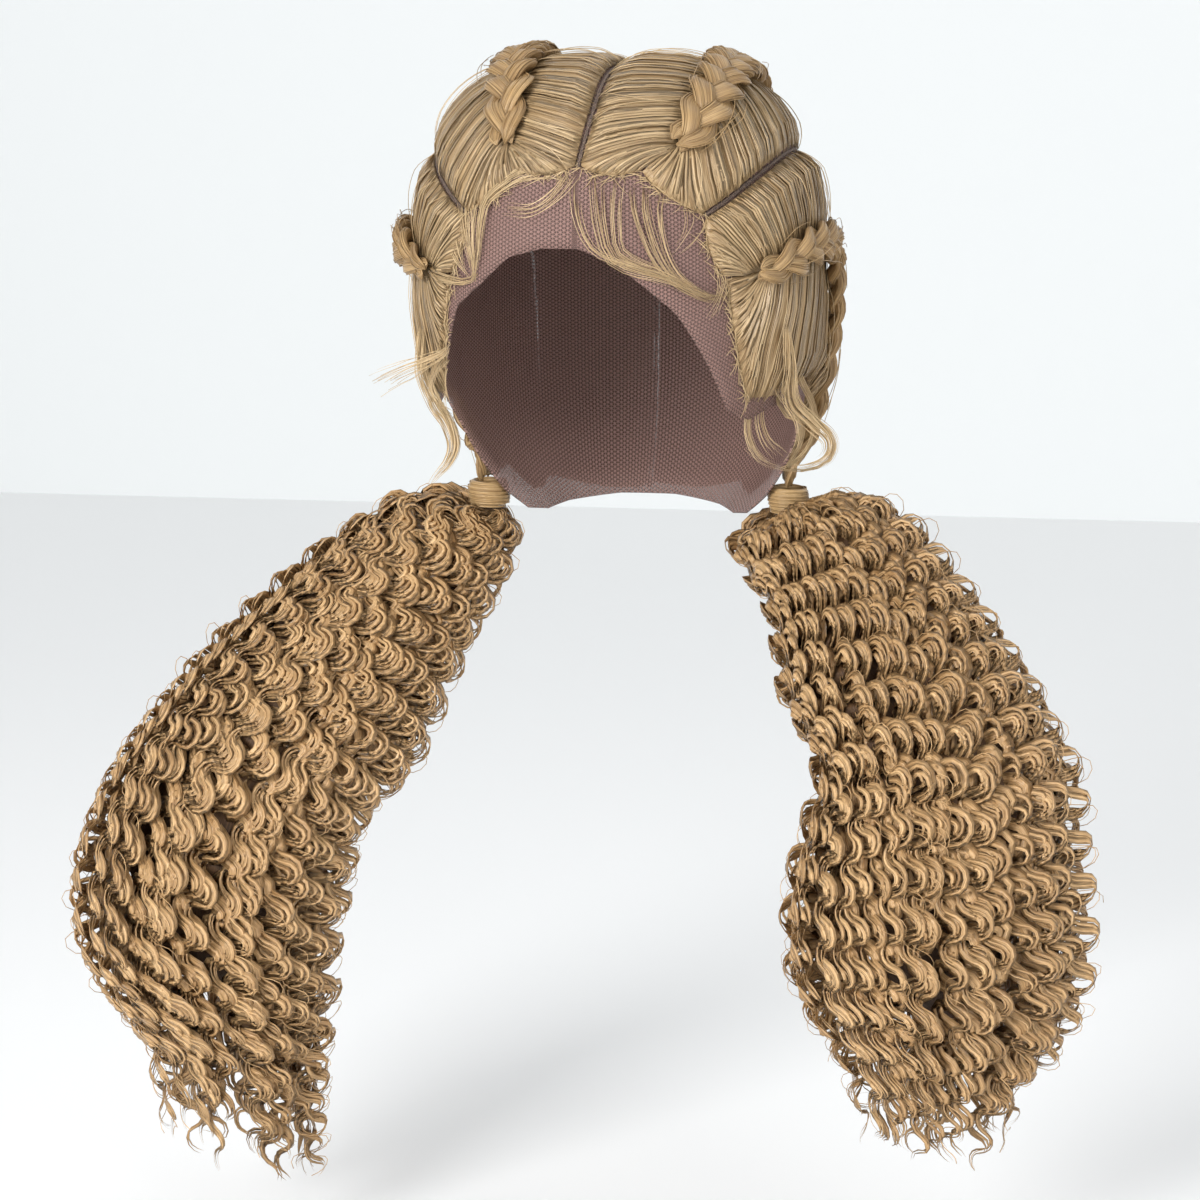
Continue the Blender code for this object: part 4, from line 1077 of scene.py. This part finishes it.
def two_tone(tree, share, dark, light):
    return node(tree, "ShaderNodeMix", {0: share, 6: (*dark, 1), 7: (*light, 1)},
                data_type="RGBA")[2]


def bumps(tree, height, strength, distance, invert=False):
    return node(tree, "ShaderNodeBump",
                {"Height": height, "Strength": strength, "Distance": distance},
                invert=invert)[0]


def new_material(name):
    finish = bpy.data.materials.new(name)
    finish.use_nodes = True
    return finish, finish.node_tree, finish.node_tree.nodes["Principled BSDF"]


def hair_material(name, dark, light, roughness):
    """Fine stripes along the strands, each strand in a tone of its own."""
    finish, tree, shader = new_material(name)
    across, along, _ = node(tree, "ShaderNodeSeparateXYZ", {0: strand_place(tree)})
    shade = node(tree, "ShaderNodeAttribute", {}, attribute_name="shade")["Fac"]
    spot = [maths(tree, "MULTIPLY", way, cells) for way, cells in
            ((across, STRIPES_ACROSS), (along, STRIPES_ALONG), (shade, STRIPES_SHIFT))]
    spot = node(tree, "ShaderNodeCombineXYZ", dict(enumerate(spot)))[0]
    stripes = node(tree, "ShaderNodeTexNoise",
                   {"Vector": spot, "Scale": 1.0, "Detail": 2.0, "Roughness": 0.6})["Fac"]
    spread = stretched(tree, stripes, *STRIPES_RANGE)
    total = maths(tree, "ADD", maths(tree, "MULTIPLY", spread, STRIPES_SHARE),
                  maths(tree, "MULTIPLY", shade, 1 - STRIPES_SHARE))
    feed(tree, shader, {
        "Specular IOR Level": HAIR_SPECULAR,
        "Base Color": two_tone(tree, total, dark, light),
        "Roughness": maths(tree, "ADD", maths(tree, "MULTIPLY", spread, -GLOSS_CHANGE),
                           roughness + GLOSS_CHANGE / 2),
        "Normal": bumps(tree, stripes, 0.9, BUMP_DEPTH)})
    return finish


def lace_material():
    """Sheer net: fine threads round small holes, thin enough to see through."""
    finish, tree, shader = new_material("sheer_lace")
    spot = strand_place(tree)
    net = 1.0
    for turn in (0, 60, 120):
        turn = math.radians(turn)
        way = node(tree, "ShaderNodeVectorMath", {0: spot, 1: (math.cos(turn), math.sin(turn), 0)},
                   operation="DOT_PRODUCT")["Value"]
        wave = maths(tree, "SINE", maths(tree, "MULTIPLY", way, math.pi / NET_PITCH))
        net = maths(tree, "MULTIPLY", net, maths(tree, "ABSOLUTE", wave))
    hole = stretched(tree, net, *HOLE_RANGE)
    feed(tree, shader, {
        "Roughness": 0.7,
        "Base Color": two_tone(tree, hole, LACE_THREAD, LACE_HOLE),
        "Alpha": maths(tree, "SUBTRACT", 1.0, maths(tree, "MULTIPLY", hole, LACE_OPEN)),
        "Normal": bumps(tree, hole, 0.6, 0.0003, True)})
    return finish


def knot_material():
    """Dark speckled knots where the hair is tied to the net."""
    finish, tree, shader = new_material("knotted_roots")
    knots = node(tree, "ShaderNodeTexNoise",
                 {"Vector": strand_place(tree), "Scale": KNOTS_ACROSS, "Detail": 2.0})["Fac"]
    feed(tree, shader, {
        "Roughness": 0.8,
        "Base Color": two_tone(tree, stretched(tree, knots, *KNOT_RANGE), *KNOT_TONES),
        "Normal": bumps(tree, knots, 0.8, BUMP_DEPTH)})
    return finish


def plain_material(name, colour, roughness):
    finish, tree, shader = new_material(name)
    feed(tree, shader, {"Base Color": (*colour, 1), "Roughness": roughness})
    return finish


def stand(name, data, spot=(0, 0, 0), way=None):
    """New object at a spot, turned to look along way."""
    made = bpy.data.objects.new(name, data)
    made.location = spot
    if way is not None:
        made.rotation_euler = Vector(way).to_track_quat("-Z", "Y").to_euler()
    bpy.context.scene.collection.objects.link(made)
    return made


def studio():
    """Camera, pale floor and backdrop, and soft light."""
    data = bpy.data.cameras.new("camera")
    data.sensor_width = SENSOR
    data.lens = FOCAL_SHARE * SENSOR
    way = (-math.sin(CAMERA_YAW) * math.cos(CAMERA_PITCH),
           math.cos(CAMERA_YAW) * math.cos(CAMERA_PITCH), -math.sin(CAMERA_PITCH))
    bpy.context.scene.camera = stand("camera", data, CAMERA_PLACE, way)

    for name, near, far, colour, roughness in SHEETS:
        mesh = bpy.data.meshes.new(name)
        corners = [(-STAGE_REACH, *near), (STAGE_REACH, *near),
                   (STAGE_REACH, *far), (-STAGE_REACH, *far)]
        mesh.from_pydata(corners, [], [(0, 1, 2, 3)])
        mesh.materials.append(plain_material("pale_" + name, colour, roughness))
        stand(name, mesh)

    world = bpy.data.worlds.new("studio")
    world.use_nodes = True
    feed(world.node_tree, world.node_tree.nodes["Background"], {0: WORLD_COLOUR, 1: WORLD_LIGHT})
    bpy.context.scene.world = world
    for name, spot, power, size in LIGHTS:
        light = bpy.data.lights.new(name, "AREA")
        light.energy, light.size = power, size
        stand(name, light, spot, Vector(LIGHTS_AIM) - Vector(spot))


def main():
    studio()
    bpy.context.scene.view_settings.view_transform = "Standard"
    hair = {name: hair_material(name, *tones) for name, tones in HAIR_TONES.items()}
    lace_cap(lace_material())
    partings(knot_material())
    loose_hairs(hair["fine_hair"])
    for seed, (side, word, turned, crest, swell) in enumerate((
            (1, "left", list, LEFT_TOP_CREST, LEFT_SIDE_PANEL),
            (-1, "right", mirrored, RIGHT_TOP_CREST, RIGHT_SIDE_PANEL))):
        rng = np.random.default_rng(10 + seed)
        side_crest = turned(SIDE_CREST)
        hair_panel(f"top_panel_{word}_hair", CENTRE_PART, crest, turned(SIDE_PART),
                   TOP_PANEL, hair["combed_hair"], rng)
        hair_panel(f"side_panel_{word}_hair", turned(SIDE_PART), side_crest,
                   turned(EAR_EDGE), swell, hair["combed_hair"], rng)
        braid(f"top_braid_{word}", crest[1:TOP_LEAVES], turned(TOP_FALL), TOP_STRANDS,
              TOP_PANEL["under_braid"], 1, side, hair["braided_hair"], rng)
        braid(f"side_braid_{word}", side_crest[1:SIDE_LEAVES], turned(SIDE_FALL),
              SIDE_STRANDS, swell["under_braid"], -1, side, hair["braided_hair"], rng)
        hair_wrap(f"hair_wrap_{word}", side, hair["wrapped_hair"], rng)
    for seed, (name, rows, size, side) in enumerate((
            ("ponytail_left", LEFT_TAIL, LEFT_SIZE, 1),
            ("ponytail_right", RIGHT_TAIL, RIGHT_SIZE, -1))):
        ponytail(name, rows, size, side, hair, np.random.default_rng(20 + seed))
    for seed, (name, rows, panel) in enumerate((
            ("temple_curl_left", LEFT_CURL, LEFT_SIDE_PANEL),
            ("temple_curl_right", RIGHT_CURL, RIGHT_SIDE_PANEL))):
        temple_curl(name, rows, panel["beside_braid"], hair["fine_hair"],
                    np.random.default_rng(30 + seed))


main()
